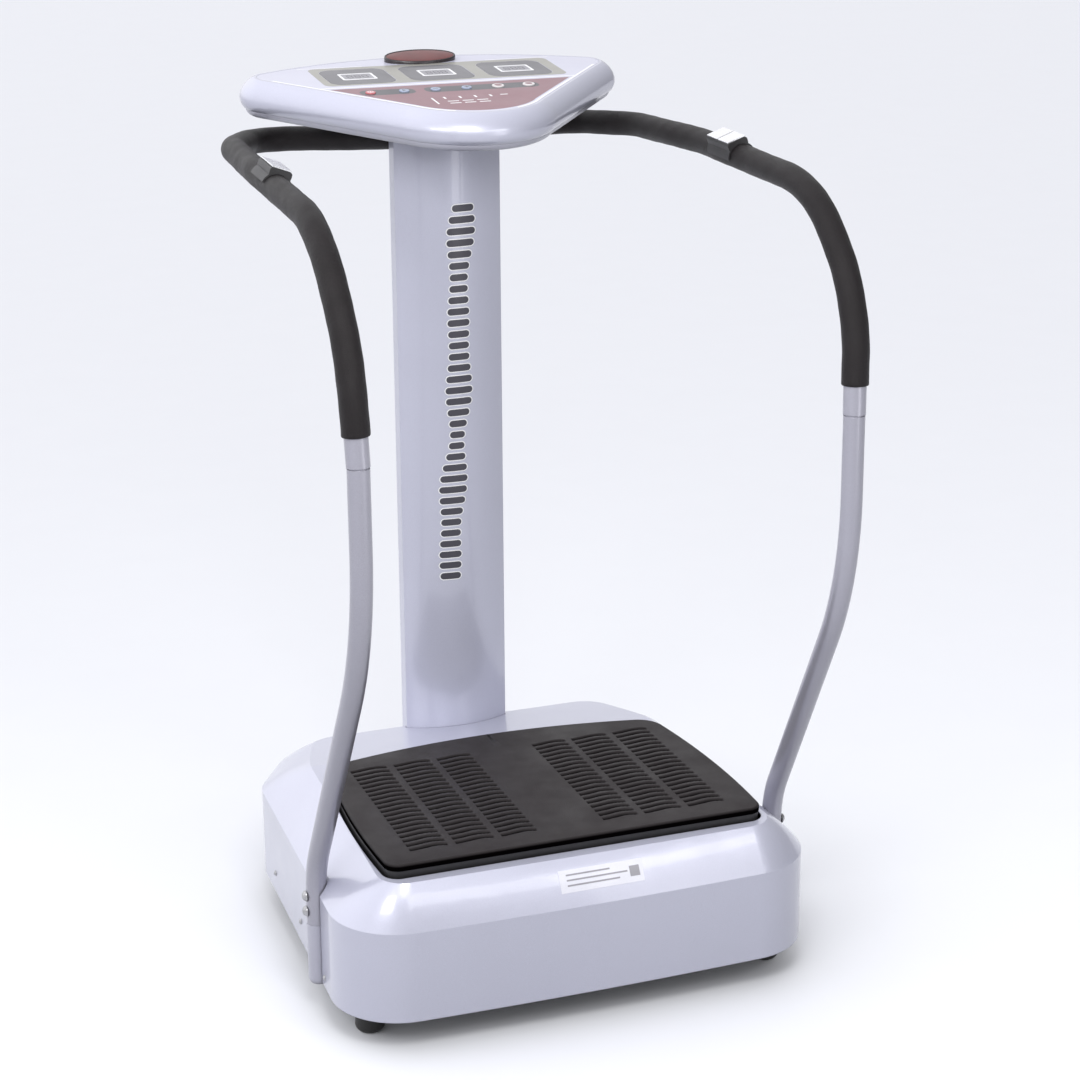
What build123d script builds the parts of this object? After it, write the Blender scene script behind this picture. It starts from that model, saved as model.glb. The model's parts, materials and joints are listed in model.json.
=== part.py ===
"""Vibration plate: an oscillating standing platform with a column, a console and two long handlebars.

Millimetres, +X to the user's right, +Y from the user towards the column, +Z up, feet on z = 0.
The origin is under the middle of the whole machine. Lengths along Y are given from the front edge
of the base, and y() moves them into the machine's frame.
"""
import os
from math import cos, pi, radians, sin

from build123d import *

# ---------------------------------------------------------------- driving dimensions
FRONT = -325.419          # y of the base's front edge in the machine's frame

BASE_HALF = 340.0         # half width of the base at its front edge
BASE_DEPTH = 630.0
BASE_BULGE = 9.0          # how far the front face bows out
BASE_SIDE = (319.0, 520.0)    # where a side wall meets the slanting rear corner
BASE_REAR = (250.0, 630.0)    # where the slanting corner meets the rear wall
BASE_RADII = (95.0, 80.0, 60.0)
SKIRT_LOW = 45.0
SKIRT_TOP = 172.0         # the crease between the upright walls and the slopes
COVER_WALL = 3.0

CREST_HALF = 279.0        # the outline that the slopes rise to
CREST_FRONT = 30.0
CREST_BOW = 3.0
CREST_SIDE = (262.0, 445.0)
CREST_REAR = (205.0, 548.0)
CREST_RADII = (36.0, 60.0, 50.0)
RIM_TOP = 228.0
MIDWAY_IN = 0.42          # the slopes bulge a little: this far in when half way up
FALL_START = 442.0        # behind the platform the deck falls towards the column
FALL_END = 569.0
PLATEAU_Z = 213.0
OPENING_GAP = 3.0         # between the mat and the edge of the opening it stands in

MAT_FRONT = 47.0
MAT_HALF_FRONT = 266.0
MAT_HALF = 269.0
MAT_HALF_Y = 200.0
MAT_CORNER = (249.0, 395.0)
MAT_REAR = 427.0
MAT_RADII = (20.0, 40.0)
MAT_TOP = 246.0
MAT_THICK = 9.0
RIB_COLUMNS = ((46.5, 98.5), (107.0, 162.5), (171.5, 226.0))
RIB_FRONT = 80.0
RIB_REAR = 368.0
RIB_RECESS = 1.6
TRAY_LOW = 199.0
TRAY_WALL = 5.0
PLATE_THICK = 3.0

COLUMN_HALF = 78.5
COLUMN_APEX = 541.0       # front of the bowed column face
COLUMN_EDGE = 567.0       # where the bowed face meets the flat sides
COLUMN_SIDE = 589.0
COLUMN_REAR = 609.0
COLUMN_LOW = 150.0
COLUMN_TOP = 1140.0

TUBE_R = 14.0
TUBE_WALL = 2.0
FOAM_R = 17.5
FOAM_LOW = 858.0
FOAM_END = 39.5           # how near the middle of the crossbar the foam stops
SEAM_Z = 820.0
TUBE_X = 324.0
TUBE_LOW_X = 334.0
TUBE_LOW_Y = 160.0
SLEEVE_TOP = 128.0
SLEEVE_LOW = 38.0
GROOVE_R = TUBE_R + 2.6   # the upright groove in the base that the tube stands in
BOLT_HEIGHTS = (146.0, 168.0)
CROSS_Y = 633.0
CROSS_Z = 1091.0
SADDLE_X = 26.0
SENSOR_Y0, SENSOR_Y1 = 277.0, 343.0
SENSOR_LEAN = -20.0       # degrees that the sensors lean in towards the user's palms

PIVOT_Z = 168.0           # the axis that the platform rocks about
PIVOT_R = 10.0
CRANK_Y = 300.0
CRANK_Z = 108.0
CRANK_R = 8.0
CRANK_THROW = 3.4
ROD_X = 165.0
ROD_PIN_Z = 176.0
ROD_PIN_R = 5.0
MOTOR_Y = 480.0
MOTOR_Z = 120.0
PULLEY_X = -55.0
DRIVEN_R = 40.0
DRIVE_R = 16.0
RUNNING_GAP = 0.05

CONSOLE_TILT = 6.0        # degrees that the console's face leans towards the user
CONSOLE_NOSE_Y = 375.0
CONSOLE_NOSE_Z = 1158.0
CONSOLE_DEEP = 52.0
SEAM_DEPTH = 42.0         # how far below the face the two console shells meet

FOOT_R = 20.0
FOOT_SPOTS = ((288, 79), (-288, 79), (280, 515), (-280, 515))
RAIL_X = 252.0
RAIL_HALF = 15.0
RAIL_HIGH = 13.0
COVER_SCREWS = ((128, 60), (268, 76), (430, 76))
INLET_X = 150.0
INLET_Z = 92.0
SWITCH_X = 96.0
KEY_R = 7.0


def y(from_front):
    """A distance behind the base's front edge, in the machine's frame."""
    return FRONT + from_front


parts = {}


def keep(name, shape):
    parts[name] = shape


def solids(shapes):
    """Several separate solids as one node."""
    return Compound(children=list(shapes))


def both_sides(shape):
    """A right-hand solid and its mirror image on the left."""
    return solids([shape, mirror(shape, Plane.YZ)])


def block(x0, x1, y0, y1, z0, z1):
    return Pos((x0 + x1) / 2, (y0 + y1) / 2, (z0 + z1) / 2) * Box(x1 - x0, y1 - y0, z1 - z0)


def rod_x(radius, x0, x1, yy, zz):
    """A round bar along X."""
    return Pos((x0 + x1) / 2, yy, zz) * Rot(0, 90, 0) * Cylinder(radius, x1 - x0)


def rod_y(radius, y0, y1, xx, zz):
    """A round bar along Y."""
    return Pos(xx, (y0 + y1) / 2, zz) * Rot(90, 0, 0) * Cylinder(radius, y1 - y0)


def rod_z(radius, z0, z1, xx, yy):
    """A round bar along Z."""
    return Pos(xx, yy, (z0 + z1) / 2) * Cylinder(radius, z1 - z0)


# ---------------------------------------------------------------- base cover
def bowed(corner, bow):
    """A line or a shallow bow across the machine, between a corner and its mirror image."""
    half, spot = corner
    if bow:
        return ThreePointArc((-half, y(spot)), (0, y(spot - bow)), (half, y(spot)))
    return Line((-half, y(spot)), (half, y(spot)))


def tapered_outline(front, side, rear, bow, radii, z):
    """A closed plan outline with a bowed front, slanting rear corners and rounded corners."""
    right = Polyline(*[(px, y(py)) for px, py in (front, side, rear)])
    left = Polyline(*[(-px, y(py)) for px, py in (rear, side, front)])
    face = make_face([bowed(front, bow), right, bowed(rear, 0), left])
    for (_, spot), radius in zip((front, side, rear), radii):
        corners = [v for v in face.vertices() if abs(v.Y - y(spot)) < 0.01 and v.Y != 0]
        face = fillet(sorted(corners, key=lambda v: -abs(v.X))[:2], radius)
    return Pos(0, 0, z) * face


def crease_outline(z):
    """The outline of the base's upright walls."""
    return tapered_outline((BASE_HALF, 0), BASE_SIDE, BASE_REAR, BASE_BULGE, BASE_RADII, z)


def slope_outline(inward, z):
    """An outline part of the way from the crease (0) to the crest (1)."""
    def between(low, high):
        return low + (high - low) * inward

    def corner(low, high):
        return between(low[0], high[0]), between(low[1], high[1])

    radii = [between(low, high) for low, high in zip(BASE_RADII, CREST_RADII)]
    return tapered_outline(corner((BASE_HALF, 0), (CREST_HALF, CREST_FRONT)), corner(BASE_SIDE, CREST_SIDE),
                           corner(BASE_REAR, CREST_REAR), between(BASE_BULGE, CREST_BOW), radii, z)


def base_body(wall):
    """The base as a closed solid, moved in by a wall thickness."""
    low = SKIRT_LOW - (1 if wall else 0)
    crease = SKIRT_TOP - wall * 0.4
    top = RIM_TOP - wall
    shells = []
    for inward, z in ((0, crease), (MIDWAY_IN, (crease + top) / 2), (1, top)):
        section = slope_outline(inward, z)
        shells.append(offset(section, -wall, kind=Kind.INTERSECTION) if wall else section)
    skirt = crease_outline(low)
    if wall:
        skirt = offset(skirt, -wall, kind=Kind.INTERSECTION)
    body = extrude(skirt, crease - low) + loft(shells)
    return body - falling_deck(wall)


def falling_deck(wall):
    """What is cut off the crest behind the platform, where the deck falls to the column."""
    run = FALL_END - FALL_START
    drop = RIM_TOP - PLATEAU_Z
    beyond = 700.0
    far_z = RIM_TOP - drop * (beyond - FALL_START) / run
    side = make_face(Polyline(
        (y(FALL_START), RIM_TOP - wall), (y(beyond), far_z - wall), (y(beyond), 300),
        (y(FALL_START), 300), (y(FALL_START), RIM_TOP - wall)))
    return extrude(Plane.YZ * side, 400, both=True)


def opening_outline(z):
    """The outline of the opening that the platform stands in."""
    return mat_outline(OPENING_GAP, z)


def mat_outline(grow, z):
    """The mat's outline moved out by a distance: straight front, bowed sides and a bowed rear."""
    front = (MAT_HALF_FRONT + grow, MAT_FRONT - grow)
    rear = (MAT_CORNER[0] + grow, MAT_CORNER[1] + grow)

    def side(way):
        points = (front, (MAT_HALF + grow, MAT_HALF_Y), rear)
        return ThreePointArc(*[(way * px, y(py)) for px, py in points])

    face = make_face([bowed(front, 0), side(1), bowed(rear, MAT_CORNER[1] - MAT_REAR), side(-1)])
    corners = face.vertices().sort_by(Axis.Y)
    face = fillet(corners[:2], MAT_RADII[0] + grow)
    corners = face.vertices().sort_by(Axis.Y)
    face = fillet(corners[-2:], MAT_RADII[1] + grow)
    return Pos(0, 0, z) * face


def column_outline(grow, z):
    """The column's outline: a bowed front, flat sides and a narrower back."""
    half = COLUMN_HALF + grow
    back = half - 8
    points = [
        ThreePointArc((-half, y(COLUMN_EDGE)), (0, y(COLUMN_APEX) - grow), (half, y(COLUMN_EDGE))),
        Polyline((half, y(COLUMN_EDGE)), (half, y(COLUMN_SIDE)), (back, y(COLUMN_REAR) + grow),
                 (-back, y(COLUMN_REAR) + grow), (-half, y(COLUMN_SIDE)), (-half, y(COLUMN_EDGE)))]
    return Pos(0, 0, z) * make_face(points)


def make_base_cover():
    outer = base_body(0)
    inner = base_body(COVER_WALL)
    for side in (-1, 1):
        outer -= rod_z(GROOVE_R, 0, 260, side * TUBE_LOW_X, y(TUBE_LOW_Y))
        inner -= rod_z(GROOVE_R + COVER_WALL, 0, 260, side * TUBE_LOW_X, y(TUBE_LOW_Y))
    cover = outer - inner
    cover -= extrude(opening_outline(180), 80)
    cover -= extrude(column_outline(1.0, 180), 60)
    for z in BOLT_HEIGHTS:
        cover -= rod_x(6, -400, 400, y(TUBE_LOW_Y), z)
    for from_front, z in COVER_SCREWS:
        cover -= rod_x(2.1, -400, 400, y(from_front), z)
    rear_low, rear_high = y(BASE_DEPTH - 12), y(BASE_DEPTH + 5)
    cover -= block(INLET_X - 14, INLET_X + 14, rear_low, rear_high, INLET_Z - 10, INLET_Z + 10)
    cover -= block(SWITCH_X - 10, SWITCH_X + 10, rear_low, rear_high, INLET_Z - 13, INLET_Z + 13)
    return cover


def side_wall(from_front):
    """Half the base's width at its straight sides."""
    return BASE_HALF + (BASE_SIDE[0] - BASE_HALF) * from_front / BASE_SIDE[1]


def make_cover_screws():
    """Round-headed screws through the side walls."""
    screws = []
    for from_front, z in COVER_SCREWS:
        face_x = side_wall(from_front)
        head = Pos(face_x - 1.6, y(from_front), z) * Rot(0, 90, 0) * (
            Sphere(4.6) & Pos(0, 0, 1.9 + 10) * Cylinder(20, 20))
        screw = head + rod_x(1.9, face_x - 9, face_x + 1.5, y(from_front), z)
        screws += [screw, mirror(screw, Plane.YZ)]
    return solids(screws)


keep("base_cover", make_base_cover())
keep("cover_screws", make_cover_screws())


# ---------------------------------------------------------------- pan, feet and frame
PAN_TOP = SKIRT_LOW + 2.0
FRAME_LOW = PAN_TOP + 0.5
FRAME_TOP = FRAME_LOW + RAIL_HIGH

pan = extrude(offset(crease_outline(SKIRT_LOW), -COVER_WALL - 0.6, kind=Kind.INTERSECTION), 2.0)
for side in (-1, 1):
    pan -= rod_z(GROOVE_R + COVER_WALL + 0.8, 0, 80, side * TUBE_LOW_X, y(TUBE_LOW_Y))
for foot_x, foot_y in FOOT_SPOTS:
    pan -= rod_z(5.5, 0, 80, foot_x, y(foot_y))
for row in range(5):
    for col in range(6):
        slot = Pos(-150 + col * 60, y(430 + row * 14), SKIRT_LOW) * Box(36, 4, 10)
        pan -= slot
keep("bottom_pan", pan)


def make_foot():
    """A domed rubber foot with a recess for its stud."""
    profile = make_face([
        Line((0, 0), (11, 0)),
        ThreePointArc((11, 0), (17.6, 3.4), (FOOT_R, 12)),
        Line((FOOT_R, 12), (FOOT_R - 2, SKIRT_LOW)),
        Line((FOOT_R - 2, SKIRT_LOW), (0, SKIRT_LOW)),
        Line((0, SKIRT_LOW), (0, 0))])
    foot = revolve(Plane.XZ * profile, Axis.Z)
    return foot - rod_z(5.1, 14, 60, 0, 0)


def make_foot_stud():
    """A threaded stud with a hexagon nut above the pan."""
    nut = Pos(0, 0, PAN_TOP) * extrude(RegularPolygon(8, 6), 6)
    return rod_z(5, 14, PAN_TOP + 12, 0, 0) + nut


foot = make_foot()
stud = make_foot_stud()
keep("rubber_feet", solids([Pos(fx, y(fy), 0) * foot for fx, fy in FOOT_SPOTS]))
keep("foot_studs", solids([Pos(fx, y(fy), 0) * stud for fx, fy in FOOT_SPOTS]))


def box_tube(x0, x1, y0, y1, z0, z1, along):
    """A rectangular steel tube, open at both ends along X or Y."""
    wall = 2.0
    outer = block(x0, x1, y0, y1, z0, z1)
    if along == "x":
        return outer - block(x0 - 1, x1 + 1, y0 + wall, y1 - wall, z0 + wall, z1 - wall)
    return outer - block(x0 + wall, x1 - wall, y0 - 1, y1 + 1, z0 + wall, z1 - wall)


def make_side_rail():
    """A side rail with the welded bracket that the handlebar tube bolts to."""
    rail = box_tube(RAIL_X - RAIL_HALF, RAIL_X + RAIL_HALF, y(50), y(590), FRAME_LOW, FRAME_TOP, "y")
    bracket = block(304, 310, y(TUBE_LOW_Y - 28), y(TUBE_LOW_Y + 28), FRAME_LOW, 182)
    bracket += block(RAIL_X + RAIL_HALF, 304, y(TUBE_LOW_Y - 28), y(TUBE_LOW_Y + 28), FRAME_LOW, FRAME_LOW + 5)
    for z in BOLT_HEIGHTS:
        bracket -= rod_x(4.2, 290, 330, y(TUBE_LOW_Y), z)
    return rail + bracket


keep("frame_side_rails", both_sides(make_side_rail()))

CROSS_SPOTS = {"front_pivot": 95.0, "crank": CRANK_Y, "rear_pivot": 372.0, "motor": MOTOR_Y, "column": 572.0}
cross_tubes = []
for spot in CROSS_SPOTS.values():
    cross_tubes.append(box_tube(-RAIL_X + RAIL_HALF, RAIL_X - RAIL_HALF, y(spot - 17), y(spot + 17),
                                FRAME_LOW, FRAME_TOP, "x"))
keep("frame_cross_members", solids(cross_tubes))


# ---------------------------------------------------------------- rocking platform
def make_mat():
    """The rubber mat, with a shallow recess for each column of ribs."""
    low = MAT_TOP - MAT_THICK
    mat = extrude(mat_outline(0, low), MAT_THICK)
    mat = fillet(mat.edges().group_by(Axis.Z)[-1], 3.0)
    for inner, outer in RIB_COLUMNS:
        recess = block(inner, outer, y(RIB_FRONT), y(RIB_REAR), MAT_TOP - RIB_RECESS, MAT_TOP + 5)
        mat -= recess
        mat -= mirror(recess, Plane.YZ)
    return mat


keep("rubber_mat", make_mat())

TRAY_TOP = MAT_TOP - MAT_THICK
TRAY_RIBS = (-150, -75, 75, 150)
pocket = extrude(mat_outline(-1.5 - TRAY_WALL, TRAY_LOW - 1), TRAY_TOP - TRAY_LOW - 4)
for rib_x in TRAY_RIBS:
    pocket -= block(rib_x - 2, rib_x + 2, y(MAT_FRONT - 10), y(MAT_REAR + 10), TRAY_LOW - 5, TRAY_TOP)
tray = extrude(mat_outline(-1.5, TRAY_LOW), TRAY_TOP - TRAY_LOW) - pocket
keep("platform_tray", tray)

plate = block(-225, 225, y(70), y(376), TRAY_LOW - PLATE_THICK, TRAY_LOW)
keep("platform_plate", plate)

PLATE_LOW = TRAY_LOW - PLATE_THICK
hangers = []
for spot in (134.0, 336.0):
    hanger = block(-22, 22, y(spot - 8), y(spot + 8), PIVOT_Z - 16, PLATE_LOW)
    hangers.append(hanger - rod_y(PIVOT_R + 0.02, y(spot - 20), y(spot + 20), 0, PIVOT_Z))
keep("pivot_shaft", rod_y(PIVOT_R, y(78), y(390), 0, PIVOT_Z))


def pillow_block_y(spot):
    body = block(-26, 26, y(spot - 11), y(spot + 11), FRAME_TOP, PIVOT_Z)
    body += rod_y(26, y(spot - 11), y(spot + 11), 0, PIVOT_Z)
    return body - rod_y(PIVOT_R + RUNNING_GAP, y(spot - 20), y(spot + 20), 0, PIVOT_Z)


LUG_GAP = 8.0
LUG_THICK = 4.0


def make_lugs(side):
    lugs = []
    for way in (-1, 1):
        inner = CRANK_Y + way * LUG_GAP
        outer = inner + way * LUG_THICK
        lug = block(side * ROD_X - 11, side * ROD_X + 11, y(min(inner, outer)), y(max(inner, outer)),
                    ROD_PIN_Z - 11, PLATE_LOW)
        lugs.append(lug - rod_y(ROD_PIN_R + 0.02, y(CRANK_Y - 20), y(CRANK_Y + 20), side * ROD_X, ROD_PIN_Z))
    return lugs


keep("platform_hangers", solids(hangers + make_lugs(1) + make_lugs(-1)))
pins = []
for side in (-1, 1):
    pin = rod_y(ROD_PIN_R, y(CRANK_Y - 15), y(CRANK_Y + 15), side * ROD_X, ROD_PIN_Z)
    pins.append(pin + rod_y(ROD_PIN_R + 2.5, y(CRANK_Y - 17), y(CRANK_Y - 12.5), side * ROD_X, ROD_PIN_Z))
keep("rod_pins", solids(pins))

RACE_R = 16.0
BIG_END_R = RACE_R + 7.2


def make_rod(side):
    """A connecting rod: an eye along Y above and a ring along X below."""
    x = side * ROD_X
    ring = rod_x(BIG_END_R + 6.5, x - 7, x + 7, y(CRANK_Y), CRANK_Z)
    neck = block(x - 7, x + 7, y(CRANK_Y - 7), y(CRANK_Y + 7), CRANK_Z + BIG_END_R, ROD_PIN_Z)
    eye = rod_y(10, y(CRANK_Y - 7), y(CRANK_Y + 7), x, ROD_PIN_Z)
    rod = ring + neck + eye
    rod -= rod_x(BIG_END_R, x - 20, x + 20, y(CRANK_Y), CRANK_Z)
    return rod - rod_y(ROD_PIN_R + RUNNING_GAP, y(CRANK_Y - 20), y(CRANK_Y + 20), x, ROD_PIN_Z)


keep("rod_left", make_rod(-1))
keep("rod_right", make_rod(1))


# ---------------------------------------------------------------- crankshaft, belt and motor
keep("crankshaft", rod_x(CRANK_R, -186, 186, y(CRANK_Y), CRANK_Z))
eccentrics = []
races = []
for side in (-1, 1):
    centre_y = y(CRANK_Y + side * CRANK_THROW)
    disc = rod_x(13, side * ROD_X - 8, side * ROD_X + 8, centre_y, CRANK_Z)
    eccentrics.append(disc - rod_x(CRANK_R + 0.02, -200, 200, y(CRANK_Y), CRANK_Z))
    race = rod_x(RACE_R, side * ROD_X - 6, side * ROD_X + 6, centre_y, CRANK_Z)
    races.append(race - rod_x(13.02, -200, 200, centre_y, CRANK_Z))
keep("eccentric_discs", solids(eccentrics))
keep("eccentric_bearings", solids(races))

crank_blocks = []
for side in (-1, 1):
    centre_x = side * 120
    body = block(centre_x - 11, centre_x + 11, y(CRANK_Y - 24), y(CRANK_Y + 24), FRAME_TOP, CRANK_Z)
    body += rod_x(24, centre_x - 11, centre_x + 11, y(CRANK_Y), CRANK_Z)
    crank_blocks.append(body - rod_x(CRANK_R + RUNNING_GAP, -200, 200, y(CRANK_Y), CRANK_Z))
keep("bearing_blocks", solids([pillow_block_y(95), pillow_block_y(372)] + crank_blocks))

BELT_HALF = 6.0
BELT_GAP = 0.3
BELT_THICK = 4.0


def make_pulley(radius, bore, yy, zz):
    """A flat-belt pulley with two flanges."""
    x0, x1 = PULLEY_X - BELT_HALF, PULLEY_X + BELT_HALF
    pulley = rod_x(radius, x0 - 3, x1 + 3, yy, zz)
    pulley += rod_x(radius + 6, x0 - 3, x0 - 0.5, yy, zz) + rod_x(radius + 6, x1 + 0.5, x1 + 3, yy, zz)
    return pulley - rod_x(bore, x0 - 9, x1 + 9, yy, zz)


driven = make_pulley(DRIVEN_R, CRANK_R + 0.02, y(CRANK_Y), CRANK_Z)
for turn in range(5):
    angle = 2 * pi * turn / 5
    driven -= rod_x(7, PULLEY_X - 20, PULLEY_X + 20, y(CRANK_Y) + 24 * cos(angle), CRANK_Z + 24 * sin(angle))
keep("driven_pulley", driven)
keep("motor_pulley", make_pulley(DRIVE_R, 6.02, y(MOTOR_Y), MOTOR_Z))


def belt_face(grow):
    """The outline of two circles joined by their outer tangents, seen along X."""
    run = Vector(MOTOR_Y - CRANK_Y, MOTOR_Z - CRANK_Z)
    circles = [Edge.make_circle(DRIVEN_R + grow), Edge.make_circle(DRIVE_R + grow).moved(Pos(run.X, run.Y))]
    return make_hull(circles)


belt_plane = Plane(origin=(PULLEY_X - BELT_HALF, y(CRANK_Y), CRANK_Z), x_dir=(0, 1, 0), z_dir=(1, 0, 0))
belt = extrude(belt_plane * belt_face(BELT_GAP + BELT_THICK), BELT_HALF * 2)
belt -= extrude(belt_plane * belt_face(BELT_GAP), BELT_HALF * 2)
keep("drive_belt", belt)

MOTOR_R = 42.0
MOTOR_X0 = -200.0
MOTOR_X1 = -78.0
stator = rod_x(MOTOR_R, MOTOR_X0 + 14, MOTOR_X1 - 14, y(MOTOR_Y), MOTOR_Z)
for fin in range(24):
    angle = 2 * pi * fin / 24
    fin_block = Pos(0, 0, MOTOR_R + 1.0) * Box(MOTOR_X1 - MOTOR_X0 - 40, 2.2, 4)
    stator += Pos((MOTOR_X0 + MOTOR_X1) / 2, y(MOTOR_Y), MOTOR_Z) * Rot(angle * 180 / pi, 0, 0) * fin_block
stator -= rod_x(20, MOTOR_X0 - 9, MOTOR_X1 + 9, y(MOTOR_Y), MOTOR_Z)
keep("motor_stator", stator)
bells = []
for x0, x1 in ((MOTOR_X0, MOTOR_X0 + 14), (MOTOR_X1 - 14, MOTOR_X1)):
    bells.append(rod_x(MOTOR_R - 2, x0, x1, y(MOTOR_Y), MOTOR_Z)
                 - rod_x(6 + RUNNING_GAP, x0 - 9, x1 + 9, y(MOTOR_Y), MOTOR_Z))
keep("motor_end_bells", solids(bells))
rotor = rod_x(6, MOTOR_X0 + 2, PULLEY_X + 12, y(MOTOR_Y), MOTOR_Z)
rotor += rod_x(19.5, MOTOR_X0 + 20, MOTOR_X1 - 20, y(MOTOR_Y), MOTOR_Z)
keep("motor_rotor", rotor)
cradle = block(MOTOR_X0 + 26, MOTOR_X1 - 26, y(MOTOR_Y - 30), y(MOTOR_Y + 30), FRAME_TOP, MOTOR_Z - 20)
cradle -= rod_x(MOTOR_R + 3.4, MOTOR_X0, MOTOR_X1, y(MOTOR_Y), MOTOR_Z)
keep("motor_cradle", cradle)

board = block(80, 220, y(450), y(540), FRAME_TOP + 8, FRAME_TOP + 9.6)
for bx in (88, 212):
    for by in (458, 532):
        board += rod_z(3, FRAME_TOP, FRAME_TOP + 8, bx, y(by))
keep("control_board", board)
BOARD_TOP = FRAME_TOP + 9.6
heat_sink = block(90, 120, y(462), y(528), BOARD_TOP, BOARD_TOP + 4)
for fin in range(6):
    fin_x = 91 + fin * 5.2
    heat_sink += block(fin_x, fin_x + 2, y(462), y(528), BOARD_TOP + 3, BOARD_TOP + 26)
capacitors = [rod_z(9, BOARD_TOP, BOARD_TOP + 30, cx, y(cy)) for cx, cy in ((140, 475), (165, 475), (140, 505))]
transformer = block(160, 206, y(492), y(530), BOARD_TOP, BOARD_TOP + 34)
keep("board_components", solids([heat_sink, transformer] + capacitors))


# ---------------------------------------------------------------- mains inlet and switch
WALL_Y = y(BASE_DEPTH)
inlet = block(INLET_X - 13.5, INLET_X + 13.5, WALL_Y - 26, WALL_Y + 0.4, INLET_Z - 9.5, INLET_Z + 9.5)
inlet += block(INLET_X - 19, INLET_X + 19, WALL_Y + 0.2, WALL_Y + 3.2, INLET_Z - 14, INLET_Z + 14)
inlet -= block(INLET_X - 11.5, INLET_X + 11.5, WALL_Y - 18, WALL_Y + 9, INLET_Z - 7.5, INLET_Z + 7.5)
for pin_x in (-7, 0, 7):
    inlet += block(INLET_X + pin_x - 1, INLET_X + pin_x + 1, WALL_Y - 19, WALL_Y - 3, INLET_Z - 2.5, INLET_Z + 2.5)
keep("power_inlet", inlet)

bezel = block(SWITCH_X - 9.6, SWITCH_X + 9.6, WALL_Y - 22, WALL_Y + 0.4, INLET_Z - 12.6, INLET_Z + 12.6)
bezel += block(SWITCH_X - 12, SWITCH_X + 12, WALL_Y + 0.2, WALL_Y + 2.4, INLET_Z - 15.5, INLET_Z + 15.5)
bezel -= block(SWITCH_X - 7.5, SWITCH_X + 7.5, WALL_Y - 15, WALL_Y + 9, INLET_Z - 10.5, INLET_Z + 10.5)
keep("switch_bezel", bezel)
ROCKER_Y = WALL_Y - 5.0
rocker_side = make_face(Polyline((ROCKER_Y - 2, -3), (ROCKER_Y + 4, -9.2), (ROCKER_Y + 7.2, -9.2),
                                 (ROCKER_Y + 6.2, 0), (ROCKER_Y + 7.2, 9.2), (ROCKER_Y + 4, 9.2),
                                 (ROCKER_Y - 2, 3), (ROCKER_Y - 2, -3)))
rocker_plane = Plane(origin=(SWITCH_X - 6.9, 0, INLET_Z), x_dir=(0, 1, 0), z_dir=(1, 0, 0))
keep("power_rocker", extrude(rocker_plane * rocker_side, 13.8))


# ---------------------------------------------------------------- column
def column_shell(from_front, to_back):
    """The part of the hollow column between two distances from the front."""
    outer = extrude(column_outline(0, COLUMN_LOW), COLUMN_TOP - COLUMN_LOW)
    inner = extrude(column_outline(-2.2, COLUMN_LOW - 5), COLUMN_TOP - COLUMN_LOW + 10)
    return (outer - inner) & block(-100, 100, y(from_front), y(to_back), 0, 1300)


SADDLE_HOLES = [(sx * SADDLE_X, CROSS_Z + sz * 27.5) for sx in (-1, 1) for sz in (-1, 1)]

keep("column_front_shell", column_shell(500, COLUMN_SIDE))
back_cover = column_shell(COLUMN_SIDE, 700)
for hole_x, hole_z in SADDLE_HOLES:
    back_cover -= rod_y(4.6, y(595), y(625), hole_x, hole_z)
keep("column_rear_cover", back_cover)

POST_Y0, POST_Y1 = 551.0, 587.0
POST_TOP = 1141.0
post = block(-45, 45, y(POST_Y0), y(POST_Y1), FRAME_TOP + 6, POST_TOP)
post -= block(-42, 42, y(POST_Y0 + 3), y(POST_Y1 - 3), FRAME_TOP, POST_TOP + 9)
for hole_x, hole_z in SADDLE_HOLES:
    post -= rod_y(4.6, y(POST_Y1 - 8), y(POST_Y1 + 8), hole_x, hole_z)
post += block(-80, 80, y(540), y(602), FRAME_TOP, FRAME_TOP + 6)
web = make_face(Polyline((45, 0), (76, 0), (45, 60), (45, 0)))
gusset = extrude(Plane(origin=(0, y(569), FRAME_TOP + 6), x_dir=(1, 0, 0), z_dir=(0, -1, 0)) * web, 6, both=True)
post += gusset + mirror(gusset, Plane.YZ)
post += block(-52, 52, y(546), y(594), POST_TOP, POST_TOP + 4)
keep("column_post", post)
foot_bolts = []
for bolt_x in (-68, 68):
    bolt = rod_z(5, FRAME_TOP + 6, FRAME_TOP + 8, bolt_x, y(589))
    bolt += Pos(bolt_x, y(589), FRAME_TOP + 6) * extrude(RegularPolygon(8, 6), 6)
    foot_bolts.append(bolt)
harness_path = FilletPolyline((128, y(546), 84), (60, y(592), 100), (60, y(592), 1158), radius=12)
keep("cable_harness", sweep(Plane(origin=harness_path @ 0, z_dir=harness_path % 0) * Circle(3.5), harness_path))


# ---------------------------------------------------------------- handlebar
def side_points(points):
    """Points given as x, distance behind the front edge and z, in the machine's frame."""
    return [(px, y(py), pz) for px, py, pz in points]


# the right half of the upper bar, from the seam with the lower tube to the middle of the crossbar
BAR_HALF = [
    (TUBE_X, -67.5, SEAM_Z + 1.4), (328, -57, 963), (328, 66, 1086), (319, 400, 1097),
    (300, 600, 1094), (235, 735, 1084), (62, CROSS_Y, CROSS_Z)]
BAR_RADII = [200, 200, 500, 120, 60, 80]


def bar_path():
    right = side_points(BAR_HALF)
    left = [(-px, py, pz) for px, py, pz in reversed(right)]
    radii = BAR_RADII + BAR_RADII[::-1]
    return FilletPolyline(*(right + left), radius=radii)


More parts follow.
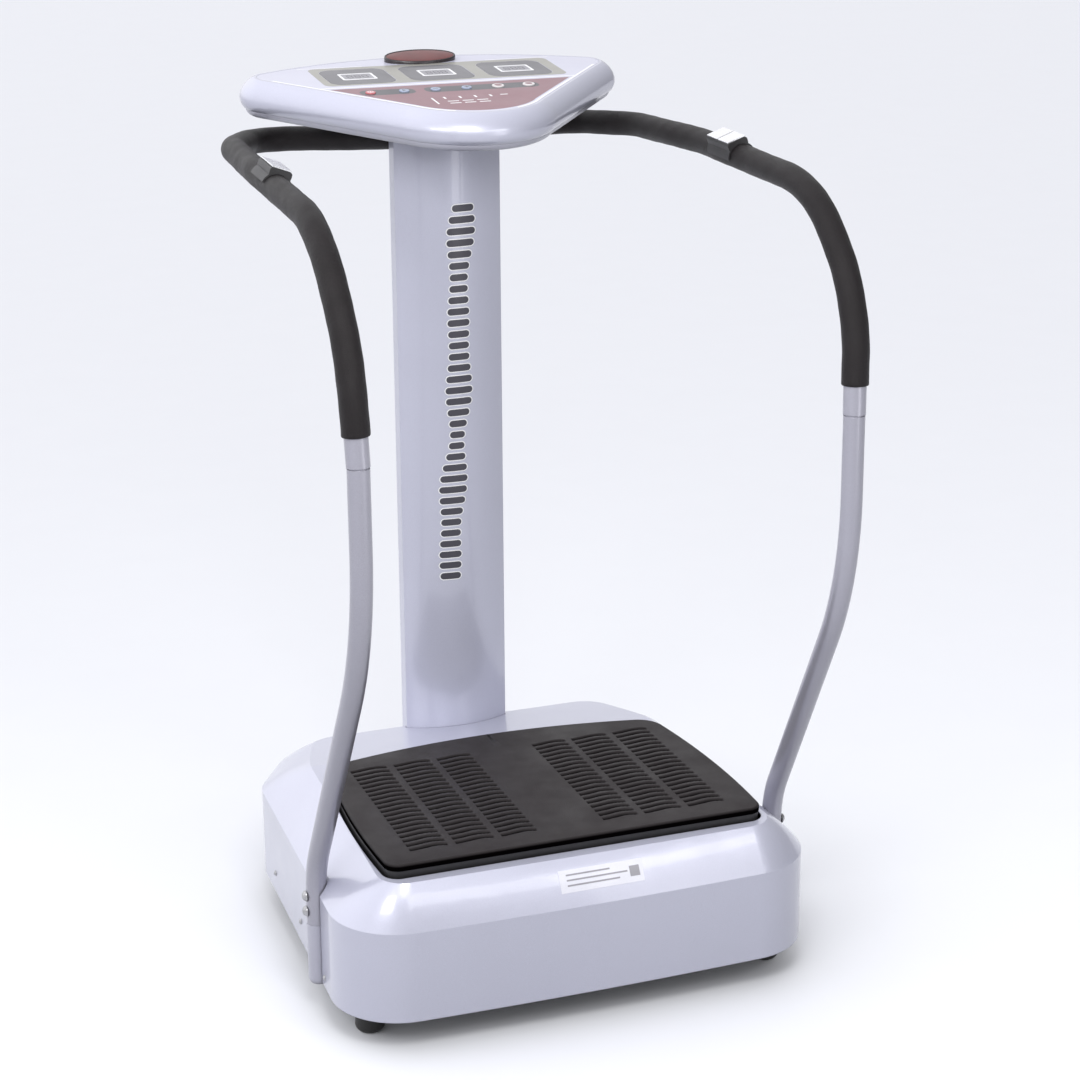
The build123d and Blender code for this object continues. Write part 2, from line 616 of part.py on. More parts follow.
def grip_path():
    """The right half of the bar, from the foam's lower end to its end beside the column."""
    seam, bend = Vector(*BAR_HALF[0]), Vector(*BAR_HALF[1])
    start = seam + (bend - seam) * ((FOAM_LOW - SEAM_Z) / (bend.Z - seam.Z))
    points = [tuple(start)] + BAR_HALF[1:] + [(FOAM_END, CROSS_Y, CROSS_Z)]
    return FilletPolyline(*side_points(points), radius=BAR_RADII)


def ring_sweep(path, outer, inner):
    start = Plane(origin=path @ 0, z_dir=path % 0)
    tube = sweep(start * Circle(outer), path)
    if inner:
        tube -= sweep(start * Circle(inner), path)
    return tube


keep("handlebar", ring_sweep(bar_path(), TUBE_R + 0.6, TUBE_R - 1.4))
grip = ring_sweep(grip_path(), FOAM_R, TUBE_R + 0.65)
keep("foam_grip_right", grip)
keep("foam_grip_left", mirror(grip, Plane.YZ))

LOWER_TUBE = [
    (TUBE_X, -67.5, SEAM_Z), (TUBE_X, -69, 600), (TUBE_LOW_X, TUBE_LOW_Y, 205),
    (TUBE_LOW_X, TUBE_LOW_Y, SLEEVE_TOP)]
lower_path = FilletPolyline(*side_points(LOWER_TUBE), radius=[420, 140])
lower = ring_sweep(lower_path, TUBE_R, TUBE_R - TUBE_WALL)
seam_dir = (Vector(*side_points(BAR_HALF)[1]) - Vector(*side_points(BAR_HALF)[0])).normalized()
spigot_plane = Plane(origin=side_points(BAR_HALF)[0], z_dir=seam_dir)
spigot_plane = spigot_plane.offset(-8)
spigot = extrude(spigot_plane * (Circle(TUBE_R - 1.7) - Circle(TUBE_R - 3.6)), 54)
lower = lower + spigot
for z in BOLT_HEIGHTS:
    lower -= rod_x(4.2, 310, 360, y(TUBE_LOW_Y), z)
keep("lower_tube_right", lower)
keep("lower_tube_left", mirror(lower, Plane.YZ))

sleeve_shape = rod_z(TUBE_R + 0.3, SLEEVE_LOW, SLEEVE_TOP - 0.3, TUBE_LOW_X, y(TUBE_LOW_Y))
sleeve_shape = fillet(sleeve_shape.edges().group_by(Axis.Z)[0], 9)
sleeve_shape += rod_z(TUBE_R - TUBE_WALL - 0.1, SLEEVE_TOP - 1, SLEEVE_TOP + 12, TUBE_LOW_X, y(TUBE_LOW_Y))
keep("tube_end_sleeves", both_sides(sleeve_shape))


def make_tube_bolt(z):
    """A domed bolt through the tube into the side bracket."""
    outside = TUBE_LOW_X + TUBE_R
    shank = rod_x(4, 300, outside + 2, y(TUBE_LOW_Y), z)
    dome = Pos(outside + 0.4, y(TUBE_LOW_Y), z) * Rot(0, 90, 0) * (
        Pos(0, 0, -2.2) * Sphere(8) & Pos(0, 0, 10) * Cylinder(20, 20))
    nut = Plane(origin=(298, y(TUBE_LOW_Y), z), z_dir=(1, 0, 0)) * RegularPolygon(7, 6)
    return shank + dome + extrude(nut, 6)


bolts = []
for z in BOLT_HEIGHTS:
    bolt = make_tube_bolt(z)
    bolts += [bolt, mirror(bolt, Plane.YZ)]
keep("tube_bolts", solids(bolts))

# two saddles hold the crossbar against the column's back
saddles = []
for side in (-1, 1):
    x0, x1 = side * SADDLE_X - 11, side * SADDLE_X + 11
    saddle = block(x0, x1, y(COLUMN_REAR + 0.1), y(CROSS_Y), CROSS_Z - 35, CROSS_Z + 35)
    saddle += rod_x(TUBE_R + 6, x0, x1, y(CROSS_Y), CROSS_Z)
    saddle -= rod_x(TUBE_R + 0.65, x0 - 5, x1 + 5, y(CROSS_Y), CROSS_Z)
    saddles.append(saddle)
saddles = solids(saddles)
saddle_screws = []
for hole_x, hole_z in SADDLE_HOLES:
    saddles -= rod_y(4.2, y(590), y(650), hole_x, hole_z)
    screw = rod_y(4, y(578), y(CROSS_Y + 1), hole_x, hole_z)
    saddle_screws.append(screw + rod_y(6.5, y(CROSS_Y), y(CROSS_Y + 5), hole_x, hole_z))
keep("bar_saddles", saddles)
keep("column_bolts", solids(saddle_screws + foot_bolts))


# ---------------------------------------------------------------- heart-rate sensors
def bar_at(from_front):
    """The bar's centre on its long straight run, at a distance behind the front edge."""
    low, high = Vector(*BAR_HALF[2]), Vector(*BAR_HALF[3])
    return low + (high - low) * ((from_front - low.Y) / (high.Y - low.Y))


def sensor_plane(from_front):
    centre = bar_at(from_front)
    run = (Vector(*BAR_HALF[3]) - Vector(*BAR_HALF[2])).normalized()
    return Plane(origin=(centre.X, y(centre.Y), centre.Z), x_dir=(1, 0, 0), z_dir=run)


SENSOR_MID = (SENSOR_Y0 + SENSOR_Y1) / 2
SENSOR_HALF = (SENSOR_Y1 - SENSOR_Y0) / 2


def sensor_prism(sketch, low, high):
    """A section across the bar, drawn out along it between two distances from the sensor's middle."""
    plane = sensor_plane(SENSOR_MID)
    return extrude(plane.offset(low) * Rot(0, 0, SENSOR_LEAN) * sketch, high - low)


def make_sensor_housing():
    """A saddle that clips over the foam, with a raised seat for the two pads."""
    body = Circle(FOAM_R + 2.8) + Pos(0, -FOAM_R - 1) * RectangleRounded(30, 12, 4)
    body -= Circle(FOAM_R + 0.3)
    body &= Pos(0, -26) * Rectangle(60, 46)
    return sensor_prism(body, -SENSOR_HALF, SENSOR_HALF)


def make_sensor_pads():
    """Two polished plates on the saddle, one behind the other."""
    section = Pos(0, -FOAM_R - 8.1) * RectangleRounded(27, 1.6, 0.7)
    return [sensor_prism(section, low, high) for low, high in ((-SENSOR_HALF + 1, -1), (1, SENSOR_HALF - 1))]


housing = make_sensor_housing()
keep("sensor_housings", both_sides(housing))
pads = make_sensor_pads()
keep("sensor_pads", solids(pads + [mirror(pad, Plane.YZ) for pad in pads]))


# ---------------------------------------------------------------- console
FACE = Plane(origin=(0, y(CONSOLE_NOSE_Y), CONSOLE_NOSE_Z), x_dir=(1, 0, 0),
             z_dir=(0, -sin(radians(CONSOLE_TILT)), cos(radians(CONSOLE_TILT))))


def shield(grow):
    """The console's outline on its face: a blunt nose, straight flanks, round tips and a bowed rear."""
    nose, tip, rear = 6.0, 250.0, 338.0
    flank_x, flank_y = 96.0, 52.0
    half = [
        ThreePointArc((-flank_x, flank_y), (0, nose - 6), (flank_x, flank_y)),
        Line((flank_x, flank_y), (tip, 236)),
        ThreePointArc((tip, 236), (258, 262), (238, 284)),
        ThreePointArc((238, 284), (0, rear), (-238, 284)),
        ThreePointArc((-238, 284), (-258, 262), (-tip, 236)),
        Line((-tip, 236), (-flank_x, flank_y))]
    face = make_face(half)
    if grow:
        face = offset(face, grow, kind=Kind.ARC)
    return face


def console_layer(grow, depth):
    return FACE.offset(-depth) * shield(grow)


BAND = ((-1, 0), (6, 4), (15, 14), (19, 26), (16, 38), (12, SEAM_DEPTH))
UNDER = ((12, SEAM_DEPTH + 0.15), (9, 48), (-2, CONSOLE_DEEP))
SHELL_WALL = 3.0
PANEL_INSET = 5.0
PANEL_THICK = 1.2
WINDOW_SPOTS = (-116.0, 0.0, 116.0)
WINDOW_Y = 234.0
WINDOW_SIZE = (95.0, 86.0)
KEY_Y = 137.0
KEY_SPOTS = {"power": -126.0, "start": -78.0, "slower": -33.0, "faster": 12.0, "mode": 58.0, "time": 103.0}
RING_KEYS = ("mode", "time")
BADGE_Y = 311.0
BADGE_LOW = 4.0           # the badge's height at its near edge
BADGE_HIGH = 16.0
BADGE_TILT = 8.0
PCB_DEPTH = 16.0


def on_face(sketch, depth, thick):
    """A sketch on the console's face, drawn down from a depth below it."""
    return extrude(FACE.offset(-depth - thick) * sketch, thick)


def window_sketch(shrink):
    sketch = Sketch()
    for wx in WINDOW_SPOTS:
        sketch += Pos(wx, WINDOW_Y) * RectangleRounded(WINDOW_SIZE[0] - shrink, WINDOW_SIZE[1] - shrink, 17)
    return sketch


def key_radius(name):
    return KEY_R + 1.5 if name in RING_KEYS else KEY_R


def key_holes(grow):
    sketch = Sketch()
    for name, kx in KEY_SPOTS.items():
        sketch += Pos(kx, KEY_Y) * Circle(key_radius(name) + grow)
    return sketch


def make_console_top():
    shell = loft([console_layer(grow, depth) for grow, depth in BAND])
    hollow = loft([console_layer(grow - SHELL_WALL, depth) for grow, depth in BAND[2:]])
    roof = PANEL_THICK + SHELL_WALL
    hollow += on_face(shield(BAND[1][0] - SHELL_WALL), roof, BAND[2][1] - roof)
    hollow += on_face(shield(BAND[-1][0] - SHELL_WALL), SEAM_DEPTH - 1, 3)
    shell -= hollow
    shell -= on_face(shield(-PANEL_INSET), -5, 5 + PANEL_THICK)
    shell -= on_face(window_sketch(10), 0, roof + 1)
    return shell - on_face(key_holes(0.5), 0, roof + 1)


def make_console_bottom():
    shell = loft([console_layer(grow, depth) for grow, depth in UNDER])
    hollow = on_face(shield(UNDER[0][0] - SHELL_WALL - 1), SEAM_DEPTH - 1, 1 + 4)
    hollow += on_face(shield(UNDER[0][0] - SHELL_WALL - 8), SEAM_DEPTH, CONSOLE_DEEP - SEAM_DEPTH - SHELL_WALL)
    shell -= hollow
    return shell - extrude(column_outline(0.8, 1080), 90)


def make_key(name):
    """A key cap with a flange under the roof and a stem down to its switch."""
    radius = key_radius(name)
    spot = Pos(KEY_SPOTS[name], KEY_Y)
    cap = on_face(spot * Circle(radius), -1.6, 1.6 + PANEL_THICK + SHELL_WALL + 0.6)
    cap = fillet(cap.edges().sort_by(Axis.Z)[-1], 0.6)
    cap += on_face(spot * Circle(radius + 1.2), PANEL_THICK + SHELL_WALL + 0.4, 1.2)
    return cap + on_face(spot * Circle(2.6), PANEL_THICK + SHELL_WALL + 1, 6.2)


keep("console_top_shell", make_console_top())
keep("console_bottom_shell", make_console_bottom())
keep("panel_overlay", on_face(shield(-PANEL_INSET - 0.3) - window_sketch(0) - key_holes(0.5), 0.1, PANEL_THICK - 0.1))
windows = []
for wx in WINDOW_SPOTS:
    windows.append(on_face(
        Pos(wx, WINDOW_Y) * RectangleRounded(WINDOW_SIZE[0] - 0.6, WINDOW_SIZE[1] - 0.6, 16.7), 0, PANEL_THICK))
keep("display_windows", solids(windows))
for name in KEY_SPOTS:
    keep("key_" + name, make_key(name))

pcb = on_face(Pos(0, 195) * RectangleRounded(290, 158, 8), PCB_DEPTH, 1.6)
keep("console_circuit_board", pcb)
key_switches = [on_face(Pos(kx, KEY_Y) * RectangleRounded(6.2, 6.2, 0.6), PCB_DEPTH - 3.4, 3.4)
                for kx in KEY_SPOTS.values()]
display_modules = [on_face(Pos(wx, WINDOW_Y) * Rectangle(60, 36), 6, PCB_DEPTH - 6) for wx in WINDOW_SPOTS]
keep("console_board_components", solids(key_switches + display_modules))

badge = on_face(Pos(0, BADGE_Y) * Ellipse(53, 24), -BADGE_HIGH, BADGE_HIGH)
badge_top = FACE * Pos(0, BADGE_Y, BADGE_LOW + 24 * sin(radians(BADGE_TILT))) * Rot(BADGE_TILT, 0, 0)
badge &= badge_top * Pos(0, 0, -50) * Box(200, 100, 100)
badge = fillet(badge.faces().sort_by(Axis.Z)[-1].edges(), 1.5)
keep("oval_badge", badge)


# ---------------------------------------------------------------- files
os.makedirs("parts", exist_ok=True)
for name, shape in parts.items():
    shape.label = name
    export_step(shape, os.path.join("parts", name + ".step"))
    print(name, len(shape.solids()), round(shape.volume / 1000, 1), "cm3")
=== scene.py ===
"""Looks of the vibration plate: materials, finer pieces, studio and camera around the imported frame."""
import json
import math

import bmesh
import bpy
import numpy as np
from mathutils import Matrix, Quaternion, Vector
from mathutils.bvhtree import BVHTree
from mathutils.geometry import convex_hull_2d


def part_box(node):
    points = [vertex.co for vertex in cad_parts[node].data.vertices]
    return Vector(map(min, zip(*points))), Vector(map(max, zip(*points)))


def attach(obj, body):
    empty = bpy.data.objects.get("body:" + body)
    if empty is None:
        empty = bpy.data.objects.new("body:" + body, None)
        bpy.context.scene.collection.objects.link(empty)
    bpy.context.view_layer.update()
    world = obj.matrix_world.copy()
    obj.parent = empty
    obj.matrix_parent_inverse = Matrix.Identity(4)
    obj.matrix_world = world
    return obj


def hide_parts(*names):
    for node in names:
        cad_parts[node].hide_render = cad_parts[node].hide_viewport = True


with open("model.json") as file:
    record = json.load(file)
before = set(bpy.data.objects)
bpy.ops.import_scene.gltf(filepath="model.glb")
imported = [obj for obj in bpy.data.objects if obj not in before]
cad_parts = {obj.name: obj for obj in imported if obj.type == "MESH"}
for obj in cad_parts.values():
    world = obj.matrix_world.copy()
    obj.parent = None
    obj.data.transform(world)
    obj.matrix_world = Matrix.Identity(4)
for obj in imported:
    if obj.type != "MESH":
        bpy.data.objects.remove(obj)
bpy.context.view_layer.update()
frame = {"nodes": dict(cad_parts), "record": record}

MM = 0.001
COVER_BOW = 0.009                                     # the front face bows this far past its side corners
FRONT_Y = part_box("base_cover")[0].y + COVER_BOW       # lengths below are given from this line


def behind(distance):
    """A distance in metres behind the base's front edge, in the frame."""
    return FRONT_Y + distance


# ---------------------------------------------------------------- material tools
DUST_COLOUR = (170, 166, 160)


def add(tree, kind, inputs=None, **settings):
    """A shader node with its settings, and its inputs given as sockets or values."""
    node = tree.nodes.new("ShaderNode" + kind)
    for key, value in settings.items():
        setattr(node, key, value)
    for key, value in (inputs or {}).items():
        if isinstance(value, bpy.types.NodeSocket):
            tree.links.new(value, node.inputs[key])
        else:
            node.inputs[key].default_value = value
    return node


def linear(colour):
    """A display colour, 0 to 255, as the linear colour that shaders take."""
    parts = [c / 255 for c in colour]
    return [c / 12.92 if c <= 0.04045 else ((c + 0.055) / 1.055) ** 2.4 for c in parts] + [1.0]


def shaded(colour, factor):
    """A linear colour made lighter or darker."""
    return [min(1.0, c * factor) for c in colour[:3]] + [1.0]


def noise(tree, where, scale, detail):
    node = add(tree, "TexNoise", {"Vector": where, "Scale": scale, "Detail": detail, "Roughness": 0.55})
    return node.outputs["Fac"]


def spread(tree, value, low, high, to_low, to_high):
    """A value between low and high, mapped to another range and clamped."""
    node = add(tree, "MapRange", {"Value": value, "From Min": low, "From Max": high,
                                  "To Min": to_low, "To Max": to_high})
    return node.outputs["Result"]


def mixed(tree, factor, first, second, blend="MIX"):
    """Two colours mixed or blended. Each input is a socket or a value."""
    node = add(tree, "Mix", data_type="RGBA", blend_type=blend)
    sockets = (node.inputs["Factor"], node.inputs[6], node.inputs[7])
    for socket, value in zip(sockets, (factor, first, second)):
        if isinstance(value, bpy.types.NodeSocket):
            tree.links.new(value, socket)
        else:
            socket.default_value = value
    return node.outputs[2]


def bumped(tree, height, distance, normal):
    """A normal tipped by a relief of the given depth."""
    inputs = {"Height": height, "Distance": distance, "Strength": 1.0, "Normal": normal}
    return add(tree, "Bump", inputs).outputs["Normal"]


def cells(tree, where, scale):
    node = add(tree, "TexVoronoi", {"Vector": where, "Scale": scale}, feature="F1")
    return node.outputs["Distance"]


def surface(name, colour, roughness, metallic=0.0, tone=0.06, tone_scale=7.0, speckle=0.05,
            speckle_scale=900.0, smudge=0.06, grain=(), stretch=None, wear=0.0, wear_colour=None,
            edge=0.0005, dust=0.0, coat=0.0, coat_roughness=0.1, sheen=0.0, sheen_roughness=0.5,
            specular=0.5):
    """A finish with uneven tone, speckle, smudged gloss, grain and soft edges, and wear and dust if asked."""
    material = bpy.data.materials.new(name)
    material.use_nodes = True
    tree = material.node_tree
    shader = tree.nodes["Principled BSDF"]
    base = linear(colour)
    where = add(tree, "TexCoord").outputs["Object"]
    if stretch:
        where_grain = add(tree, "Mapping", {"Vector": where, "Scale": stretch}).outputs["Vector"]
    else:
        where_grain = where
    cloud = spread(tree, noise(tree, where, tone_scale, 4.0), 0.3, 0.7, 0.0, 1.0)
    out = mixed(tree, cloud, shaded(base, 1 - tone), shaded(base, 1 + tone))
    if speckle:
        dots = spread(tree, noise(tree, where_grain, speckle_scale, 1.0), 0.35, 0.65, 0.0, 1.0)
        darker = mixed(tree, 1.0, out, shaded([1, 1, 1], 1 - speckle), "MULTIPLY")
        out = mixed(tree, dots, darker, out)
    soft = add(tree, "Bevel", {"Radius": edge}, samples=4).outputs["Normal"]
    if wear:
        true = add(tree, "NewGeometry").outputs["Normal"]
        turn = add(tree, "VectorMath", {0: soft, 1: true}, operation="DOT_PRODUCT").outputs["Value"]
        rubbed = spread(tree, noise(tree, where, 160.0, 4.0), 0.42, 0.6, 0.0, wear)
        edge_mask = spread(tree, turn, 0.9, 0.995, 1.0, 0.0)
        mask = add(tree, "Math", {0: edge_mask, 1: rubbed}, operation="MULTIPLY").outputs["Value"]
        out = mixed(tree, mask, out, wear_colour or shaded(base, 1.5))
    if dust:
        flat = add(tree, "NewGeometry").outputs["Normal"]
        facing = add(tree, "SeparateXYZ", {"Vector": flat}).outputs["Z"]
        layer = spread(tree, facing, 0.6, 1.0, 0.0, dust)
        patchy = spread(tree, noise(tree, where, 24.0, 6.0), 0.4, 0.7, 0.3, 1.0)
        amount = add(tree, "Math", {0: layer, 1: patchy}, operation="MULTIPLY").outputs["Value"]
        out = mixed(tree, amount, out, linear(DUST_COLOUR))
    tree.links.new(out, shader.inputs["Base Color"])
    gloss = spread(tree, noise(tree, where, 18.0, 5.0), 0.3, 0.7,
                   max(0.02, roughness - smudge), min(1.0, roughness + smudge))
    tree.links.new(gloss, shader.inputs["Roughness"])
    normal = soft
    for kind, scale, height in grain:
        if kind == "cells":
            relief = cells(tree, where_grain, scale)
        else:
            relief = noise(tree, where_grain, scale, 2.0)
        normal = bumped(tree, relief, height, normal)
    tree.links.new(normal, shader.inputs["Normal"])
    shader.inputs["Metallic"].default_value = metallic
    shader.inputs["Coat Weight"].default_value = coat
    shader.inputs["Coat Roughness"].default_value = coat_roughness
    shader.inputs["Sheen Weight"].default_value = sheen
    shader.inputs["Sheen Roughness"].default_value = sheen_roughness
    shader.inputs["Specular IOR Level"].default_value = specular
    return material


# ---------------------------------------------------------------- finishes
STEEL_GLINT = (0.55, 0.55, 0.56, 1.0)


def make_finishes():
    """One finish for each material slot of the record."""
    return {
        "silver_paint": surface(
            "silver_paint", (196, 197, 214), 0.34, metallic=0.25, tone=0.03, tone_scale=2.5, speckle=0.14,
            speckle_scale=2600.0, smudge=0.05, grain=[("noise", 420.0, 0.00006)], edge=0.0014,
            coat=0.8, coat_roughness=0.07),
        "silver_tube": surface(
            "silver_tube", (168, 167, 179), 0.36, metallic=0.35, tone=0.03,
            speckle=0.16, speckle_scale=2200.0, grain=[("noise", 700.0, 0.00008)],
            coat=0.5, coat_roughness=0.16, wear=0.25,
            wear_colour=STEEL_GLINT),
        "silver_plastic": surface(
            "silver_plastic", (186, 186, 200), 0.4, metallic=0.15, tone=0.03,
            speckle=0.1, speckle_scale=1900.0, grain=[("noise", 900.0, 0.00005)],
            coat=0.4, coat_roughness=0.2),
        "zinc_screw": surface(
            "zinc_screw", (176, 176, 178), 0.3, metallic=1.0, tone=0.12, tone_scale=180.0, speckle=0.2,
            grain=[("cells", 1500.0, 0.00005)], wear=0.5, wear_colour=(0.8, 0.8, 0.8, 1)),
        "black_steel": surface(
            "black_steel", (44, 44, 47), 0.5, tone=0.12, speckle=0.2, grain=[("noise", 650.0, 0.00015)],
            wear=0.7, wear_colour=STEEL_GLINT, dust=0.35),
        "black_rubber": surface(
            "black_rubber", (36, 35, 36), 0.62, tone=0.15, tone_scale=40.0, speckle=0.3,
            grain=[("noise", 500.0, 0.0003), ("cells", 1400.0, 0.0001)], dust=0.25, sheen=0.1),
        "mat_rubber": surface(
            "mat_rubber", (34, 28, 30), 0.54, tone=0.1, tone_scale=9.0, speckle=0.25, speckle_scale=1300.0,
            smudge=0.09, grain=[("cells", 900.0, 0.00022), ("noise", 2200.0, 0.0001)], edge=0.0006,
            dust=0.02, specular=0.3),
        "belt_rubber": surface(
            "belt_rubber", (34, 34, 35), 0.6, tone=0.15, speckle=0.25, grain=[("noise", 800.0, 0.0002)],
            stretch=(4.0, 1.0, 1.0), dust=0.2),
        "foam": surface(
            "foam", (25, 20, 22), 0.5, tone=0.12, tone_scale=30.0, speckle=0.35, speckle_scale=1500.0,
            smudge=0.08, grain=[("cells", 1600.0, 0.0003), ("noise", 320.0, 0.0003)], sheen=0.03,
            sheen_roughness=0.4, specular=0.25),
        "cast_block": surface(
            "cast_block", (112, 115, 120), 0.52, metallic=0.9, tone=0.15, tone_scale=60.0, speckle=0.3,
            grain=[("noise", 500.0, 0.0004)], wear=0.6, wear_colour=STEEL_GLINT, dust=0.2),
        "bright_steel": surface(
            "bright_steel", (188, 188, 190), 0.22, metallic=1.0, tone=0.08,
            speckle=0.12, speckle_scale=1200.0, grain=[("noise", 600.0, 0.00006)], stretch=(1.0, 14.0, 14.0)),
        "pulley_alloy": surface(
            "pulley_alloy", (184, 185, 188), 0.3, metallic=1.0, tone=0.08, speckle=0.15,
            grain=[("noise", 700.0, 0.0001)], stretch=(12.0, 1.0, 1.0), wear=0.3),
        "motor_alloy": surface(
            "motor_alloy", (138, 141, 147), 0.46, metallic=0.9, tone=0.12, tone_scale=50.0, speckle=0.2,
            grain=[("noise", 900.0, 0.0003)], wear=0.4, dust=0.25),
        "board_parts": surface(
            "board_parts", (56, 57, 64), 0.4, tone=0.35, tone_scale=70.0, speckle=0.2,
            grain=[("cells", 500.0, 0.0002)], wear=0.3),
        "black_plastic": surface(
            "black_plastic", (38, 37, 39), 0.42, tone=0.1, speckle=0.2, speckle_scale=1500.0,
            grain=[("cells", 1700.0, 0.00012)], wear=0.25, wear_colour=(0.1, 0.1, 0.105, 1)),
        "cable_sheath": surface(
            "cable_sheath", (40, 40, 42), 0.5, tone=0.1, speckle=0.2, grain=[("noise", 900.0, 0.0002)],
            stretch=(1.0, 1.0, 0.3)),
        "chrome_pad": surface(
            "chrome_pad", (238, 238, 241), 0.26, metallic=0.8, tone=0.04, speckle=0.05, smudge=0.06,
            grain=[("noise", 900.0, 0.00003)], stretch=(1.0, 8.0, 8.0)),
        "smoked_window": surface(
            "smoked_window", (82, 80, 87), 0.34, tone=0.05, speckle=0.12, smudge=0.05,
            grain=[("noise", 900.0, 0.00004)], coat=0.4, coat_roughness=0.12),
        "panel_print": surface(
            "panel_print", (204, 204, 220), 0.34, tone=0.02, speckle=0.06, speckle_scale=2400.0,
            grain=[("noise", 1200.0, 0.00004)], coat=0.3, coat_roughness=0.18),
        "badge_red": surface(
            "badge_red", (106, 44, 43), 0.4, tone=0.12, tone_scale=45.0, speckle=0.2,
            grain=[("noise", 500.0, 0.00008)], coat=0.15, coat_roughness=0.1),
        "rocker_red": surface(
            "rocker_red", (170, 34, 32), 0.28, tone=0.06, speckle=0.1, grain=[("noise", 900.0, 0.00005)],
            coat=0.3),
        "key_red": surface(
            "key_red", (206, 124, 130), 0.4, tone=0.06, speckle=0.15, grain=[("noise", 1500.0, 0.00008)]),
        "key_blue": surface(
            "key_blue", (168, 178, 200), 0.4, tone=0.06, speckle=0.15, grain=[("noise", 1500.0, 0.00008)]),
        "key_ring": surface(
            "key_ring", (226, 222, 222), 0.36, tone=0.05, speckle=0.12, grain=[("noise", 1500.0, 0.00008)]),
        "board_green": circuit_board(),
    }


GROOVE_SHADE = 0.12       # painted shade: a groove's floor keeps this share of the colour
GROOVE_LIP = 0.1          # share of the groove's depth that stays free of painted shade at its lip


def paint_groove_shade(material, top, depth):
    """Painted shade in grooves: takes colour and gloss from a finish below a height, darkest at a groove's
    floor.
    """
    tree = material.node_tree
    shader = tree.nodes["Principled BSDF"]
    height = add(tree, "SeparateXYZ", {"Vector": add(tree, "TexCoord").outputs["Object"]}).outputs["Z"]
    floor, lip = top - depth, top - GROOVE_LIP * depth
    # painted shade: the colour darkens towards each groove's floor
    shade = spread(tree, height, floor, lip, GROOVE_SHADE, 1.0)
    colour = shader.inputs["Base Color"].links[0].from_socket
    deepened = mixed(tree, 1.0, colour, shade, "MULTIPLY")
    tree.links.new(deepened, shader.inputs["Base Color"])
    # painted shade on the reflection too: no specular gloss at a groove's floor
    gloss = shader.inputs["Specular IOR Level"]
    tree.links.new(spread(tree, height, floor, lip, 0.0, gloss.default_value), gloss)


TRACK_GREEN = (62, 132, 74)
SOLDER = (190, 178, 140)


def circuit_board():
    """Green solder mask over a grid of paler tracks, with bare pads."""
    material = surface("board_green", (28, 92, 50), 0.36, tone=0.1, speckle=0.15,
                       coat=0.5, coat_roughness=0.15)
    tree = material.node_tree
    shader = tree.nodes["Principled BSDF"]
    where = add(tree, "TexCoord").outputs["Object"]
    tracks = add(tree, "TexBrick", {"Vector": where, "Scale": 60.0, "Mortar Size": 0.06,
                                    "Color1": (0, 0, 0, 1), "Color2": (0, 0, 0, 1), "Mortar": (1, 1, 1, 1)})
    mask = shader.inputs["Base Color"].links[0].from_socket
    tracked = mixed(tree, tracks.outputs["Fac"], mask, linear(TRACK_GREEN))
    pads = spread(tree, cells(tree, where, 240.0), 0.12, 0.16, 1.0, 0.0)
    tree.links.new(mixed(tree, pads, tracked, linear(SOLDER)), shader.inputs["Base Color"])
    return material


def print_ink(name, colour, roughness=0.34):
    """Printed ink on the panel's film: a slightly uneven fill with a fine screen."""
    return surface(name, colour, roughness, tone=0.04, tone_scale=30.0, speckle=0.12, speckle_scale=2600.0,
                   smudge=0.04, grain=[("noise", 1500.0, 0.00004)], edge=0.0001,
                   coat=0.25, coat_roughness=0.2)


finishes = make_finishes()
inks = {
    "olive": print_ink("ink_olive", (158, 156, 148)),
    "maroon": print_ink("ink_maroon", (136, 90, 100)),
    "dark": print_ink("ink_dark", (60, 58, 66)),
    "white": print_ink("ink_white", (248, 248, 250)),
    "grey": print_ink("ink_grey", (150, 148, 156)),
    "charcoal": print_ink("ink_charcoal", (60, 58, 68)),
    "label": print_ink("ink_label", (226, 226, 236)),
    "rim": print_ink("ink_rim", (44, 38, 42), 0.25),
}

slot_of = {row["node"]: row["material_slot"] for row in frame["record"]["subparts"]}
for node_name, node in frame["nodes"].items():
    node.data.materials.clear()
    node.data.materials.append(finishes[slot_of[node_name]])


# ---------------------------------------------------------------- mesh tools
def place(name, mesh, material, body, smooth=True):
    """A finished mesh as a piece that rides on a body."""
    piece = bpy.data.objects.new(name, mesh)
    bpy.context.scene.collection.objects.link(piece)
    mesh.materials.append(material)
    mesh.polygons.foreach_set("use_smooth", [smooth] * len(mesh.polygons))
    mesh.update()
    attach(piece, body)
    return piece


def mesh_from(name, points, faces):
    """A mesh from points and faces."""
    mesh = bpy.data.meshes.new(name)
    mesh.from_pydata([tuple(p) for p in points], [], faces)
    mesh.validate()
    return mesh


def grid_faces(rows, columns, closed=False):
    """Quads between rows of points. If closed, the last column joins the first."""
    faces = []
    for row in range(rows - 1):
        for column in range(columns if closed else columns - 1):
            after = (column + 1) % columns
            a, b = row * columns + column, row * columns + after
            faces.append((a, b, b + columns, a + columns))
    return faces


def circle(x, y, radius, steps=28):
    """A circle, as points."""
    angles = [2 * math.pi * k / steps for k in range(steps)]
    return [(x + radius * math.cos(angle), y + radius * math.sin(angle)) for angle in angles]


def rounded(x, y, width, depth, radius, steps=6):
    """A rectangle with round corners, as points."""
    points = []
    for quarter, (sx, sy) in enumerate(((1, 1), (-1, 1), (-1, -1), (1, -1))):
        cx, cy = x + sx * (width / 2 - radius), y + sy * (depth / 2 - radius)
        for k in range(steps + 1):
            angle = math.pi / 2 * (quarter + k / steps)
            points.append((cx + radius * math.cos(angle), cy + radius * math.sin(angle)))
    return points


